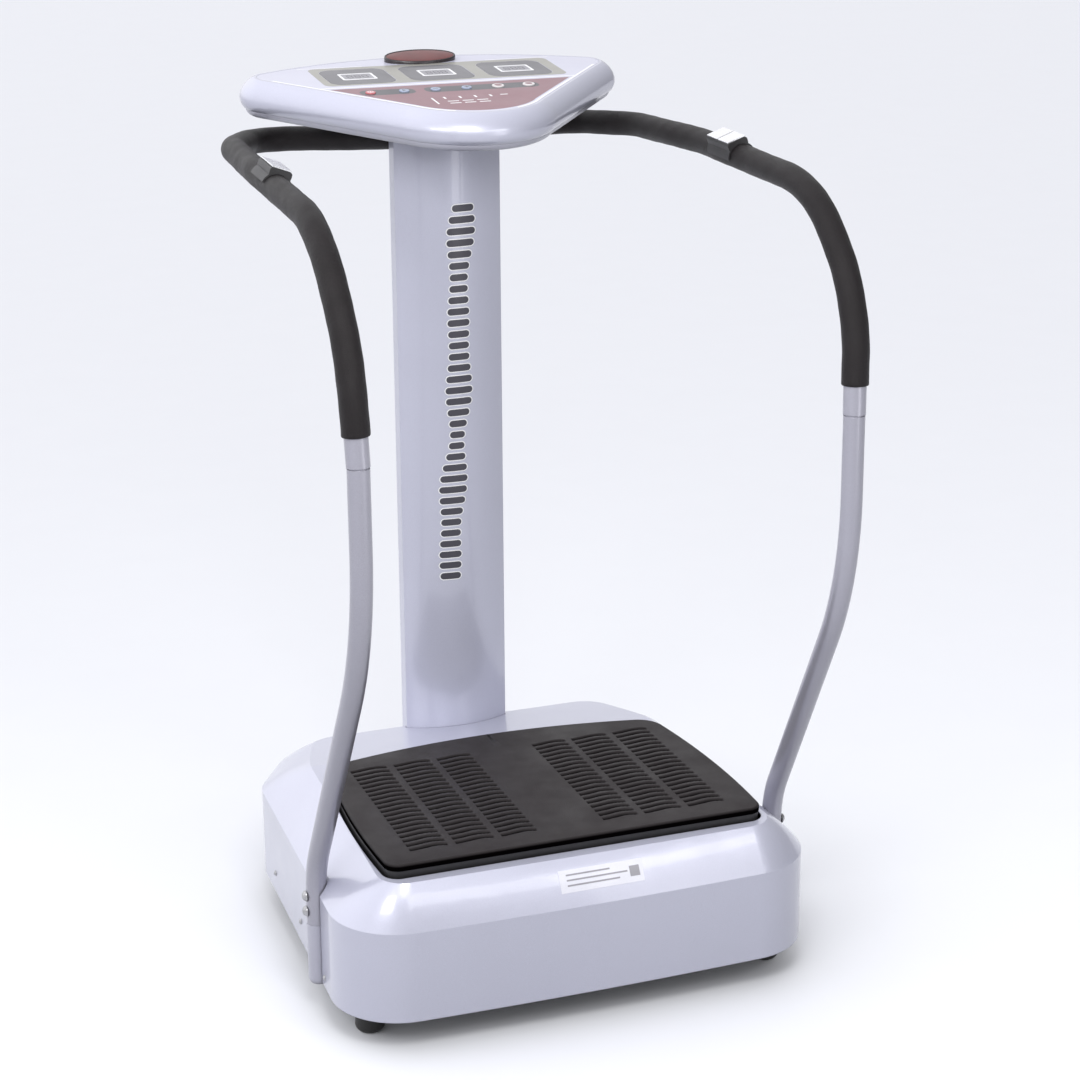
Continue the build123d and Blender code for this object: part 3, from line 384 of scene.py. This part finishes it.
def flat_plate(name, outline, holes, top, thick, matrix, material, body):
    """A thin plate: an outline in millimetres with holes, its top at a height in matrix's own frame."""
    shape = bmesh.new()
    edges = []
    for loop in (outline, *holes):
        corners = [shape.verts.new((px * MM, py * MM, top * MM)) for px, py in loop]
        for first, second in zip(corners, corners[1:] + corners[:1]):
            edges.append(shape.edges.new((first, second)))
    bmesh.ops.triangle_fill(shape, use_beauty=True, use_dissolve=False, edges=edges, normal=(0, 0, 1))
    grown = bmesh.ops.extrude_face_region(shape, geom=list(shape.faces))
    low = [v for v in grown["geom"] if isinstance(v, bmesh.types.BMVert)]
    for vertex in low:
        vertex.co.z -= thick * MM
    bmesh.ops.recalc_face_normals(shape, faces=shape.faces)
    shape.transform(matrix)
    mesh = bpy.data.meshes.new(name)
    shape.to_mesh(mesh)
    shape.free()
    place(name, mesh, material, body, smooth=False)


# ---------------------------------------------------------------- rubber mat
MAT_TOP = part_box("rubber_mat")[1].z
MAT_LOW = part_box("rubber_mat")[0].z
MAT_EDGE = 0.0034         # radius of the mat's upper edge
MAT_STEP = 0.004          # spacing of the points along the mat's outline
EDGE_STEPS = 4            # facets across the upper edge
# The two ribbed fields, each side's three bands of grooves, given from the middle outwards.
RIB_BANDS = ((0.0465, 0.0985), (0.107, 0.1625), (0.1715, 0.226))
RIB_COLUMNS = [(side * (low + high) / 2, (high - low) / 2) for side in (-1, 1) for low, high in RIB_BANDS]
RIB_Y0, RIB_Y1 = 0.080, 0.368
RIBS = 20
RIB_DEEP = 0.0034
RIB_ARCH = 0.0035         # each groove bows this far to the rear in its middle
RIB_SWAY = 0.0015         # and sways this far from side to side
RIB_END = 0.0022          # length over which a groove runs out at its ends
GROOVE_START = 0.36       # share of the wave's height below which a rib stays flat
GROOVE_WALL = 0.4         # share of the wave's height that a groove's wall takes
FIELD_HALF = 0.234        # the ribbed field's own rectangle, inside the plain border
FIELD_Y0, FIELD_Y1 = 0.076, 0.374
FIELD_ROWS = 300
PLAIN_HALF = 0.044        # the plain strip between the left and right ribs
END_OUT, END_IN = 0.0005, 0.0035      # the fine columns at a groove's ends run from outside it to inside it
CORE_IN = 0.007           # the coarse columns of a groove's middle start this far in


def smooth_step(share):
    return share * share * (3 - 2 * share)


def rib_relief(x, y):
    """How far the mat's surface dips at a point, by its transverse grooves."""
    pitch = (RIB_Y1 - RIB_Y0) / RIBS
    depth = np.zeros_like(x)
    for centre, half in RIB_COLUMNS:
        across = (x - centre) / half
        lane = smooth_step(np.clip((1.0 - np.abs(across)) * half / RIB_END, 0, 1))
        bent = y - RIB_ARCH * (1 - across ** 2) - RIB_SWAY * np.sin(3 * across)
        turn = (bent - RIB_Y0) / pitch
        wave = 0.5 - 0.5 * np.cos(2 * np.pi * turn)
        groove = smooth_step(np.clip((wave - GROOVE_START) / GROOVE_WALL, 0, 1))
        inside = (turn > 0) & (turn < RIBS)
        depth = np.maximum(depth, groove * lane * inside)
    return depth * RIB_DEEP


def mat_outline():
    """The mat's outline, read from its own lower edge, as even steps round it."""
    node = frame["nodes"]["rubber_mat"]
    spots = [node.matrix_world @ v.co for v in node.data.vertices]
    low = [Vector((p.x, p.y)) for p in spots if p.z < MAT_LOW + 0.1 * MM]
    corners = [low[k] for k in convex_hull_2d(low)]
    points = []
    for first, second in zip(corners, corners[1:] + corners[:1]):
        count = max(1, round((second - first).length / MAT_STEP))
        points += [first.lerp(second, k / count) for k in range(count)]
    return points


def moved_in(points, inset):
    """A closed outline moved in along its own normals."""
    moved = []
    for before, point, after in zip(points[-1:] + points[:-1], points, points[1:] + points[:1]):
        run = (after - before).normalized()
        moved.append(point + Vector((-run.y, run.x)) * inset)
    return moved


def field_columns():
    """The lines along the field, close together at the grooves' ends and open between."""
    lines = [-FIELD_HALF, FIELD_HALF]
    for centre, half in RIB_COLUMNS:
        left, right = centre - half, centre + half
        lines += list(np.linspace(left - END_OUT, left + END_IN, 6))
        lines += list(np.linspace(left + CORE_IN, right - CORE_IN, 9))
        lines += list(np.linspace(right - END_IN, right + END_OUT, 6))
    lines += list(np.linspace(-PLAIN_HALF, PLAIN_HALF, 8))
    return np.array(sorted(lines))


def ribbed_field(shape):
    """Adds the ribbed field to a mesh, and gives its border as a closed run of corners."""
    gx, gy = np.meshgrid(field_columns(), np.linspace(FIELD_Y0, FIELD_Y1, FIELD_ROWS))
    gz = MAT_TOP - rib_relief(gx, gy)
    rows, columns = gx.shape
    grid = []
    for r in range(rows):
        grid.append([shape.verts.new((gx[r, c], behind(gy[r, c]), gz[r, c])) for c in range(columns)])
    for r in range(rows - 1):
        for c in range(columns - 1):
            shape.faces.new((grid[r][c], grid[r][c + 1], grid[r + 1][c + 1], grid[r + 1][c]))
    right = [grid[r][-1] for r in range(1, rows)]
    left = [grid[r][0] for r in range(rows - 2, 0, -1)]
    return grid[0] + right + grid[-1][-2::-1] + left


def make_mat():
    """The mat as one mesh: a ribbed field, a plain border, a round upper edge, walls and an underside."""
    shape = bmesh.new()
    inner = ribbed_field(shape)
    rings = []
    for step in range(EDGE_STEPS + 1):
        angle = math.pi / 2 * step / EDGE_STEPS
        rings.append((MAT_EDGE * (1 - math.sin(angle)), MAT_TOP - MAT_EDGE * (1 - math.cos(angle))))
    rings.append((0.0, MAT_LOW))
    outline = mat_outline()
    loops = []
    for inset, z in rings:
        loops.append([shape.verts.new((*spot, z)) for spot in moved_in(outline, inset)])
    edges = [shape.edges.get((a, b)) for a, b in zip(inner, inner[1:] + inner[:1])]
    edges += [shape.edges.new((a, b)) for a, b in zip(loops[0], loops[0][1:] + loops[0][:1])]
    bmesh.ops.triangle_fill(shape, use_beauty=True, edges=edges, normal=(0, 0, 1))
    for upper, lower in zip(loops, loops[1:]):
        for k in range(len(upper)):
            after = (k + 1) % len(upper)
            shape.faces.new((upper[k], upper[after], lower[after], lower[k]))
    shape.faces.new(loops[-1])
    bmesh.ops.recalc_face_normals(shape, faces=shape.faces)
    mesh = bpy.data.meshes.new("ribbed_mat")
    shape.to_mesh(mesh)
    shape.free()
    piece = place("ribbed_mat", mesh, finishes["mat_rubber"], "platform")
    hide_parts("rubber_mat")


make_mat()
# painted shade in the mat's grooves
paint_groove_shade(finishes["mat_rubber"], MAT_TOP, RIB_DEEP)


# ---------------------------------------------------------------- foam grips
FOAM_R = 0.0175
FOAM_BORE = 0.0149
FOAM_LOW = 0.858          # height of the sleeve's lower end
FOAM_STEP = 0.004
FOAM_AROUND = 44
FOAM_ROLL = [(0.0, FOAM_BORE), (0.0, FOAM_R - 0.0016), (0.0005, FOAM_R - 0.0006), (0.0016, FOAM_R)]
LONG_SWELL = 0.00018      # the skin's slow and quick unevenness
SHORT_SWELL = 0.00012
BAR_SEAM = (0.324, -0.0675, 0.8214)
BAR_BENDS = [   # corner, as x, distance behind the front edge and z, and the radius that it is bent to
    ((0.328, -0.057, 0.963), 0.2), ((0.328, 0.066, 1.086), 0.2), ((0.319, 0.400, 1.097), 0.5),
    ((0.300, 0.600, 1.094), 0.12), ((0.235, 0.735, 1.084), 0.06), ((0.062, 0.633, 1.091), 0.08)]
FOAM_END = (0.0395, 0.633, 1.091)


def bent_line(points, radii, step):
    """A centreline of straight runs joined by arcs, at even steps."""
    line = [points[0]]
    for before, corner, after, radius in zip(points, points[1:], points[2:], radii):
        back, ahead = (before - corner).normalized(), (after - corner).normalized()
        half = back.angle(ahead) / 2
        reach = radius / math.tan(half)
        centre = corner + (back + ahead).normalized() * (radius / math.sin(half))
        first, last = corner + back * reach, corner + ahead * reach
        sweep = (first - centre).angle(last - centre)
        count = max(3, int(radius * sweep / step))
        a, b = first - centre, last - centre
        for k in range(count + 1):
            share = k / count
            turned = (a * math.sin((1 - share) * sweep) + b * math.sin(share * sweep)) / math.sin(sweep)
            line.append(centre + turned)
    line.append(points[-1])
    even = [line[0]]
    for first, second in zip(line, line[1:]):
        count = max(1, int((second - first).length / step))
        even += [first.lerp(second, (k + 1) / count) for k in range(count)]
    return even


def in_frame(point):
    """A point given by its distance behind the front edge, in the frame."""
    return Vector((point[0], behind(point[1]), point[2]))


def foam_route():
    """The right-hand sleeve's centreline, from its lower end to the crossbar."""
    seam, bend = Vector(BAR_SEAM), Vector(BAR_BENDS[0][0])
    start = seam.lerp(bend, (FOAM_LOW - seam.z) / (bend.z - seam.z))
    corners = [in_frame(p) for p in (start, *[p for p, _ in BAR_BENDS], FOAM_END)]
    return bent_line(corners, [r for _, r in BAR_BENDS], FOAM_STEP)


def make_grip(side, name):
    """A foam sleeve with rounded ends and a slightly uneven skin, stretched over the bar."""
    route = foam_route()
    rings = []
    ahead = (route[1] - route[0]).normalized()
    across = ahead.cross(Vector((1, 0, 0))).normalized()
    total = sum((b - a).length for a, b in zip(route, route[1:]))
    along = 0.0
    frames = []
    for index, centre in enumerate(route):
        if index:
            along += (centre - route[index - 1]).length
        near = route[min(index + 1, len(route) - 1)] - route[max(index - 1, 0)]
        ahead = near.normalized()
        across = (across - ahead * across.dot(ahead)).normalized()
        frames.append((centre, ahead, across.copy(), along))
    first, last = frames[0], frames[-1]
    for forward, radius in FOAM_ROLL:
        rings.append((first[0] + first[1] * forward, first[1], first[2], radius, 0.0))
    for centre, ahead, across, along in frames[1:-1]:
        rings.append((centre, ahead, across, FOAM_R, along))
    for forward, radius in reversed(FOAM_ROLL):
        rings.append((last[0] - last[1] * forward, last[1], last[2], radius, total))
    points = []
    for centre, ahead, across, radius, along in rings:
        upward = ahead.cross(across)
        for k in range(FOAM_AROUND):
            angle = 2 * math.pi * k / FOAM_AROUND
            swell = LONG_SWELL * math.sin(along * 61 + 2.1 * math.sin(angle))
            swell += SHORT_SWELL * math.sin(along * 173 + 3 * angle)
            if along == 0.0 or along == total:
                swell = 0.0
            spot = centre + (across * math.cos(angle) + upward * math.sin(angle)) * (radius + swell)
            points.append((spot.x * side, spot.y, spot.z))
    mesh = mesh_from(name, points, grid_faces(len(rings), FOAM_AROUND, closed=True))
    if side < 0:
        mesh.flip_normals()
    return place(name, mesh, finishes["foam"], "base")


for side, word in ((1, "right"), (-1, "left")):
    grip = make_grip(side, "foam_sleeve_" + word)
    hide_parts("foam_grip_" + word)


# ---------------------------------------------------------------- console face
# Lengths on the face are in millimetres, from the middle of its front edge.
FACE_TILT = math.radians(6.0)
FACE = Matrix.Translation((0, behind(0.375), 1.158)) @ Matrix.Rotation(FACE_TILT, 4, "X")
NOSE_R = 114.6            # radius of the face outline's nose, whose centre is this far behind its point
NOSE_STEPS = 14
FLANK_START = Vector((96.0, 52.0))
FLANK_END = Vector((250.0, 236.0))
PRINT_TOP = 0.02          # height of the printed ink above the face
PRINT_THICK = 0.1
WINDOW_X = (-116.0, 0.0, 116.0)
WINDOW_Y = 234.0
WINDOW_SIZE = (96.0, 87.0, 17.5)      # width, depth and corner radius
KEY_Y = 137.0
PILLS = {"left": (-101.5, 78.0), "right": (34.5, 166.0)}     # each row of keys: its middle and its width
PILL_DEPTH = 29.0
PILL_R = 12.0
KEYS = {"power": -126.0, "start": -78.0, "slower": -33.0, "faster": 12.0, "mode": 58.0, "time": 103.0}
PILL_KEYS = {"left": ("power", "start"), "right": ("slower", "faster", "mode", "time")}
RING_KEYS = ("mode", "time")
KEY_TOP = 1.6             # height of the key caps
RULE_Y = 174.0
REAR_RULE_X, REAR_RULE_Y = 140.0, 292.0
MARK_ROUND = 1.1          # corner radius of the printed marks


def edge_line(inset, reach):
    """The right half of the face's outline, moved in: from the nose to a distance along the flank."""
    end = math.atan2(FLANK_START.y - NOSE_R, FLANK_START.x)
    points = []
    for k in range(NOSE_STEPS + 1):
        angle = -math.pi / 2 + (end + math.pi / 2) * k / NOSE_STEPS
        points.append(((NOSE_R - inset) * math.cos(angle), NOSE_R + (NOSE_R - inset) * math.sin(angle)))
    run = (FLANK_END - FLANK_START).normalized()
    inward = Vector((-run.y, run.x)) * inset
    tip = FLANK_START + run * reach + inward
    points.append((tip.x, tip.y))
    return points


def mirrored(points):
    """An outline's mirror image across the centre line, run backwards."""
    return [(-px, py) for px, py in reversed(points)]


def face_print(name, outline, ink, top=PRINT_TOP, holes=(), body="base"):
    """One printed piece on the console's face, by its ink."""
    flat_plate(name, outline, holes, top, PRINT_THICK, FACE, inks[ink], body)


def key_radius(name):
    return 8.5 if name in RING_KEYS else 7.0


def make_pill(word):
    """The dark ground of one row of keys, with a hole for each cap, as its outline."""
    middle, wide = PILLS[word]
    outline = rounded(middle, KEY_Y, wide, PILL_DEPTH, PILL_R)
    holes = [circle(KEYS[name], KEY_Y, key_radius(name) + 0.5) for name in PILL_KEYS[word]]
    face_print("print_pill_" + word, outline, "dark", holes=holes)
    return outline


def make_panel_print():
    """The printed fields, lines and plates of the console's face."""
    window_holes = [rounded(x, WINDOW_Y, *WINDOW_SIZE) for x in WINDOW_X]
    face_print("print_display_band", rounded(3.0, 237.0, 356.0, 104.0, 12.0), "olive", holes=window_holes)
    pills = [make_pill(word) for word in PILLS]
    right = edge_line(13.0, 138.0)
    face_print("print_lower_field", mirrored(right) + right[1:], "maroon", holes=pills)
    line = edge_line(6.2, 232.0)[6:] + edge_line(9.6, 230.0)[:5:-1]
    face_print("print_edge_right", line, "white")
    face_print("print_edge_left", mirrored(line), "white")
    face_print("print_rule_long", rounded(0.0, RULE_Y, 372.0, 3.0, 1.2), "white")
    for side, word in ((-1, "left"), (1, "right")):
        rule = rounded(side * REAR_RULE_X, REAR_RULE_Y, 96.0, 1.6, 0.7)
        face_print("print_rule_rear_" + word, rule, "white")


def make_panel_marks():
    """Plain dashes on the lower field, where a real panel has its chart."""
    marks = [(-54.0, 74.0, 2.6, 34.0), (50.0, 90.0, 11.0, 3.0)]
    marks += [(x, 88.0, 3.2, 10.0) for x in (-36.0, -14.0, 8.0, 30.0)]
    marks += [(x, y, 16.0, 3.0) for y in (69.0, 58.0) for x in (-30.0, -9.0, 12.0)]
    for index, (x, y, wide, deep) in enumerate(marks):
        outline = rounded(x, y, wide, deep, MARK_ROUND)
        face_print(f"print_mark_{index}", outline, "white", top=PRINT_TOP + 0.1)


DIGIT_PITCH = 11.0


def segment_digit(x, y, size):
    """The seven bars of a display's figure, as outlines."""
    half, long, thin = size * 0.5, size * 0.84, size * 0.2
    bars = [(x, y + size, long, thin), (x, y, long, thin), (x, y - size, long, thin)]
    for sx in (-half, half):
        for sy in (-half, half):
            bars.append((x + sx, y + sy, thin, long))
    return [rounded(bx, by, wide, deep, min(wide, deep) * 0.4, 3) for bx, by, wide, deep in bars]


def make_window_print():
    """Each display's bracket, glass field and dim figures."""
    for number, x in enumerate(WINDOW_X):
        outer = rounded(x, WINDOW_Y, 50.0, 36.0, 3.0)
        inner = rounded(x, WINDOW_Y, 43.0, 28.0, 2.0)
        face_print(f"print_bracket_{number}", outer, "white", 0.1, [inner])
        face_print(f"display_field_{number}", inner, "grey", 0.06)
        for digit in range(3):
            for bar_number, bar in enumerate(segment_digit(x + DIGIT_PITCH * (digit - 1), WINDOW_Y, 7.0)):
                name = f"display_bar_{number}_{digit}_{bar_number}"
                face_print(name, bar, "dark", 0.12)


def make_key_marks():
    """Small printed signs on the key caps."""
    for name, x in KEYS.items():

        def mark(piece, outline, ink, holes=()):
            face_print("mark_" + piece, outline, ink, KEY_TOP + 0.08, holes, "key_" + name)

        if name in RING_KEYS:
            mark(name, circle(x, KEY_Y, 5.2), "maroon")
        elif name == "power":
            mark("power_ring", circle(x, KEY_Y, 4.4), "white", [circle(x, KEY_Y, 3.2)])
            mark("power_bar", rounded(x, KEY_Y, 1.3, 4.0, 0.5), "white")
        elif name == "start":
            arrow = [(x - 2.6, KEY_Y - 3.4), (x + 3.6, KEY_Y), (x - 2.6, KEY_Y + 3.4)]
            mark("start", arrow, "charcoal")
        else:
            mark(name + "_bar", rounded(x, KEY_Y, 7.4, 1.8, 0.7), "charcoal")
        if name == "faster":
            for sign, word in ((-1, "low"), (1, "high")):
                half = rounded(x, KEY_Y + sign * 2.4, 1.8, 2.8, 0.5)
                mark("faster_" + word, half, "charcoal")


BADGE_HALF = (53.0, 24.0)
BADGE_Y = 311.0
BADGE_LOW = 4.0           # height of its top at the near edge, from which it leans up
BADGE_LEAN = math.tan(math.radians(8.0))
BADGE_AROUND = 72
BADGE_WALL = [(1.0, None), (1.0, -1.8), (0.985, -0.5), (0.955, 0.0), (0.92, -0.2), (0.895, -1.0)]
DOME_SHARE, DOME_LOW, DOME_RISE = 0.893, -1.1, 2.0
DOME_RINGS = 9


def make_badge():
    """An oval badge that leans up to the rear: a dark rolled rim round a domed red face, blank."""
    turns = [math.pi / 2 * k / DOME_RINGS for k in range(DOME_RINGS)]
    dome = [(DOME_SHARE * math.cos(turn), DOME_LOW + DOME_RISE * math.sin(turn)) for turn in turns]
    parts = (("badge_rim", BADGE_WALL, inks["rim"]), ("badge_dome", dome, finishes["badge_red"]))
    for name, rings, material in parts:
        points = []
        for share, rise in rings:
            inset = (1 - share) * BADGE_HALF[1]
            for k in range(BADGE_AROUND):
                angle = 2 * math.pi * k / BADGE_AROUND
                x = (BADGE_HALF[0] - inset) * math.cos(angle)
                y = (BADGE_HALF[1] - inset) * math.sin(angle)
                top = BADGE_LOW + (y + BADGE_HALF[1]) * BADGE_LEAN
                height = 0.0 if rise is None else top + rise
                points.append(FACE @ (Vector((x, BADGE_Y + y, height)) * MM))
        faces = grid_faces(len(rings), BADGE_AROUND, closed=True)
        if name == "badge_dome":
            faces.append(tuple(range((len(rings) - 1) * BADGE_AROUND, len(rings) * BADGE_AROUND)))
        piece = place(name, mesh_from(name, points, faces), material, "base")
        if name == "badge_dome":
            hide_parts("oval_badge")


make_panel_print()
make_panel_marks()
make_window_print()
make_key_marks()
make_badge()


# ---------------------------------------------------------------- column motif and base label
COLUMN_R = 0.1315         # radius of the column's bowed front
COLUMN_APEX = 0.541       # the bow's nearest line, behind the base's front edge
BAR_STEPS = 16
MOTIF_BARS = 34
MOTIF_TOP = 1.000
MOTIF_DROP = 0.545        # height that the motif takes
MOTIF_HALF, MOTIF_SWING = 0.010, 0.012          # the least half-length of a bar and how much it grows
MOTIF_RIM = 0.0015        # the white ground shows this far past each bar
MOTIF_THICK = 0.0098
LABEL_SPOT = (0.014, 0.011, 0.2015)     # the middle of the label, with its distance behind the front edge
SLOPE_IN, SLOPE_UP = 0.47, 0.88         # the front slope's run to the rear and up, along its surface
LABEL_RULES = ((-0.018, 0.008, 0.062), (-0.006, 0.001, 0.086), (-0.012, -0.006, 0.074))  # x, rise and width


def on_column(x, z, lift):
    """A point on the column's bowed front, lifted off it."""
    angle = math.asin(x / COLUMN_R)
    reach = COLUMN_R + lift
    return Vector((reach * math.sin(angle), behind(COLUMN_APEX + COLUMN_R - reach * math.cos(angle)), z))


def column_bar(name, x0, x1, z, thick, lift, ink):
    """A round-ended printed bar that follows the column's bow."""
    top, low = [], []
    half = thick / 2
    for k in range(BAR_STEPS + 1):
        x = x0 + (x1 - x0) * (1 - math.cos(math.pi * k / BAR_STEPS)) / 2
        end = min(x - x0, x1 - x)
        rise = half if end >= half else math.sqrt(max(half ** 2 - (half - end) ** 2, 1e-9))
        top.append(on_column(x, z + rise, lift))
        low.append(on_column(x, z - rise, lift))
    mesh = mesh_from(name, low + top, grid_faces(2, BAR_STEPS + 1))
    place(name, mesh, inks[ink], "base")


def make_column_motif():
    """A plain wave of bars down the column, standing for vibration."""
    for k in range(MOTIF_BARS):
        share = k / (MOTIF_BARS - 1)
        z = MOTIF_TOP - MOTIF_DROP * share
        swing = 0.55 + 0.45 * math.sin(share * 23.0) * math.cos(share * 5.0)
        half = MOTIF_HALF + MOTIF_SWING * swing
        centre = 0.014 - 0.026 * share - 0.003 * math.sin(share * 9.0)
        x0, x1 = centre - half, centre + half
        wide = MOTIF_THICK + 2 * MOTIF_RIM
        column_bar(f"motif_ground_{k}", x0 - MOTIF_RIM, x1 + MOTIF_RIM, z, wide, 0.0002, "white")
        column_bar(f"motif_bar_{k}", x0, x1, z, MOTIF_THICK, 0.0004, "charcoal")


def draped(name, size, centre, ink, lift, columns=24, rows=10):
    """A sticker laid on the base's cover: a grid dropped on to the cover from the front and above."""
    cover = frame["nodes"]["base_cover"].data
    tree = BVHTree.FromPolygons([v.co for v in cover.vertices], [p.vertices for p in cover.polygons])
    down = Vector((0, SLOPE_UP, -SLOPE_IN)).normalized()
    up_slope = Vector((0, SLOPE_IN, SLOPE_UP)).normalized()
    points = []
    for r in range(rows):
        rise = up_slope * size[1] * (r / (rows - 1) - 0.5)
        for c in range(columns):
            aside = Vector((size[0] * (c / (columns - 1) - 0.5), 0, 0))
            hit, normal, _, _ = tree.ray_cast(centre + aside + rise - down * 0.1, down)
            points.append(hit + normal * lift)
    place(name, mesh_from(name, points, grid_faces(rows, columns)), inks[ink], "base")


def make_label():
    """A plain label on the front slope, ruled where a real one would be printed."""
    middle = in_frame(LABEL_SPOT)
    draped("label_sheet", (0.118, 0.030), middle, "label", 0.0003)
    for index, (x, rise, wide) in enumerate(LABEL_RULES):
        spot = middle + Vector((x, rise * SLOPE_IN, rise * SLOPE_UP))
        draped(f"label_rule_{index}", (wide, 0.0022), spot, "grey", 0.0005, rows=2)
    draped("label_block", (0.014, 0.014), middle + Vector((0.047, 0, 0)), "grey", 0.0005, 6, 6)


make_column_motif()
make_label()


# ---------------------------------------------------------------- studio
LIGHTS = {     # where each lamp is, what it points at, its width and height, and its power in watts
    "key": ((-0.35, -1.3, 1.75), (0, 0.05, 1.15), 0.6, 0.6, 13),
    "strip": ((0.9, -1.8, 1.1), (0, 0.21, 0.9), 0.6, 1.5, 5),
    "window": ((-1.6, -1.5, 1.75), (-0.25, -0.3, 0.2), 0.9, 0.5, 8),
    "bank": ((0.5, -1.85, 1.5), (0.1, -0.33, 0.2), 1.5, 0.3, 4),
}
SKY = (0.965, 0.97, 1.0, 1)
FLOOR_HALF = 30
CAMERA_LENS = 82.95
CAMERA_BACK = 2.7636      # distance from the base's front edge
CAMERA_LEFT = 1.0942
CAMERA_HEIGHT = 1.6399
CAMERA_AIM = (0.32964, 0.892, -0.30931)
CAMERA_ROLL = math.radians(-0.324)


def area_light(name, spot, aim, width, height, power):
    light = bpy.data.lights.new(name, "AREA")
    light.shape = "RECTANGLE"
    light.size, light.size_y = width, height
    light.energy = power
    lamp = bpy.data.objects.new(name, light)
    lamp.location = spot
    lamp.rotation_euler = (Vector(aim) - Vector(spot)).to_track_quat("-Z", "Y").to_euler()
    bpy.context.scene.collection.objects.link(lamp)


def make_world():
    """A pale surround: brighter to the left and above, darker towards the front and below the horizon."""
    world = bpy.data.worlds.new("studio")
    world.use_nodes = True
    tree = world.node_tree
    background = tree.nodes["Background"]
    where = add(tree, "TexCoord").outputs["Generated"]

    def towards(direction, low, high, first=-1.0, last=1.0):
        along = add(tree, "VectorMath", {0: where, 1: direction}, operation="DOT_PRODUCT").outputs["Value"]
        return spread(tree, along, first, last, low, high)

    left = towards((-0.80, 0.0, 0.60), 0.10, 1.75)
    front = towards((0.25, -0.97, 0.0), 1.2, 0.5)
    above = towards((0.0, 0.0, 1.0), 0.12, 1.0, -0.2, 0.05)
    light = add(tree, "Math", {0: left, 1: front}, operation="MULTIPLY").outputs["Value"]
    light = add(tree, "Math", {0: light, 1: above}, operation="MULTIPLY").outputs["Value"]
    background.inputs["Color"].default_value = SKY
    tree.links.new(light, background.inputs["Strength"])
    bpy.context.scene.world = world


def make_floor():
    corners = [(x * FLOOR_HALF, y * FLOOR_HALF, 0) for x, y in ((-1, -1), (1, -1), (1, 1), (-1, 1))]
    floor_mesh = mesh_from("floor", corners, [(0, 1, 2, 3)])
    floor = bpy.data.objects.new("floor", floor_mesh)
    bpy.context.scene.collection.objects.link(floor)
    floor_mesh.materials.append(surface("pale_floor", (231, 232, 236), 0.7, tone=0.004, speckle=0.0,
                                        smudge=0.03, grain=[("noise", 300.0, 0.00003)]))
    floor.visible_diffuse = False     # so that it doesn't throw its light back up at the machine


def make_studio():
    make_floor()
    make_world()
    for name, (spot, aim, width, height, power) in LIGHTS.items():
        area_light(name, spot, aim, width, height, power)
    view = bpy.context.scene.view_settings
    view.view_transform = "Standard"
    view.look = "None"


def make_camera():
    camera = bpy.data.cameras.new("camera")
    camera.lens = CAMERA_LENS
    camera.sensor_width = 36.0
    camera.clip_end = 200.0
    eye = bpy.data.objects.new("camera", camera)
    bpy.context.scene.collection.objects.link(eye)
    eye.location = (-CAMERA_LEFT, FRONT_Y - CAMERA_BACK, CAMERA_HEIGHT)
    aim = Vector(CAMERA_AIM).to_track_quat("-Z", "Y")
    roll = Quaternion((0, 0, 1), CAMERA_ROLL)
    eye.rotation_euler = (aim @ roll).to_euler()
    bpy.context.scene.camera = eye


make_studio()
make_camera()
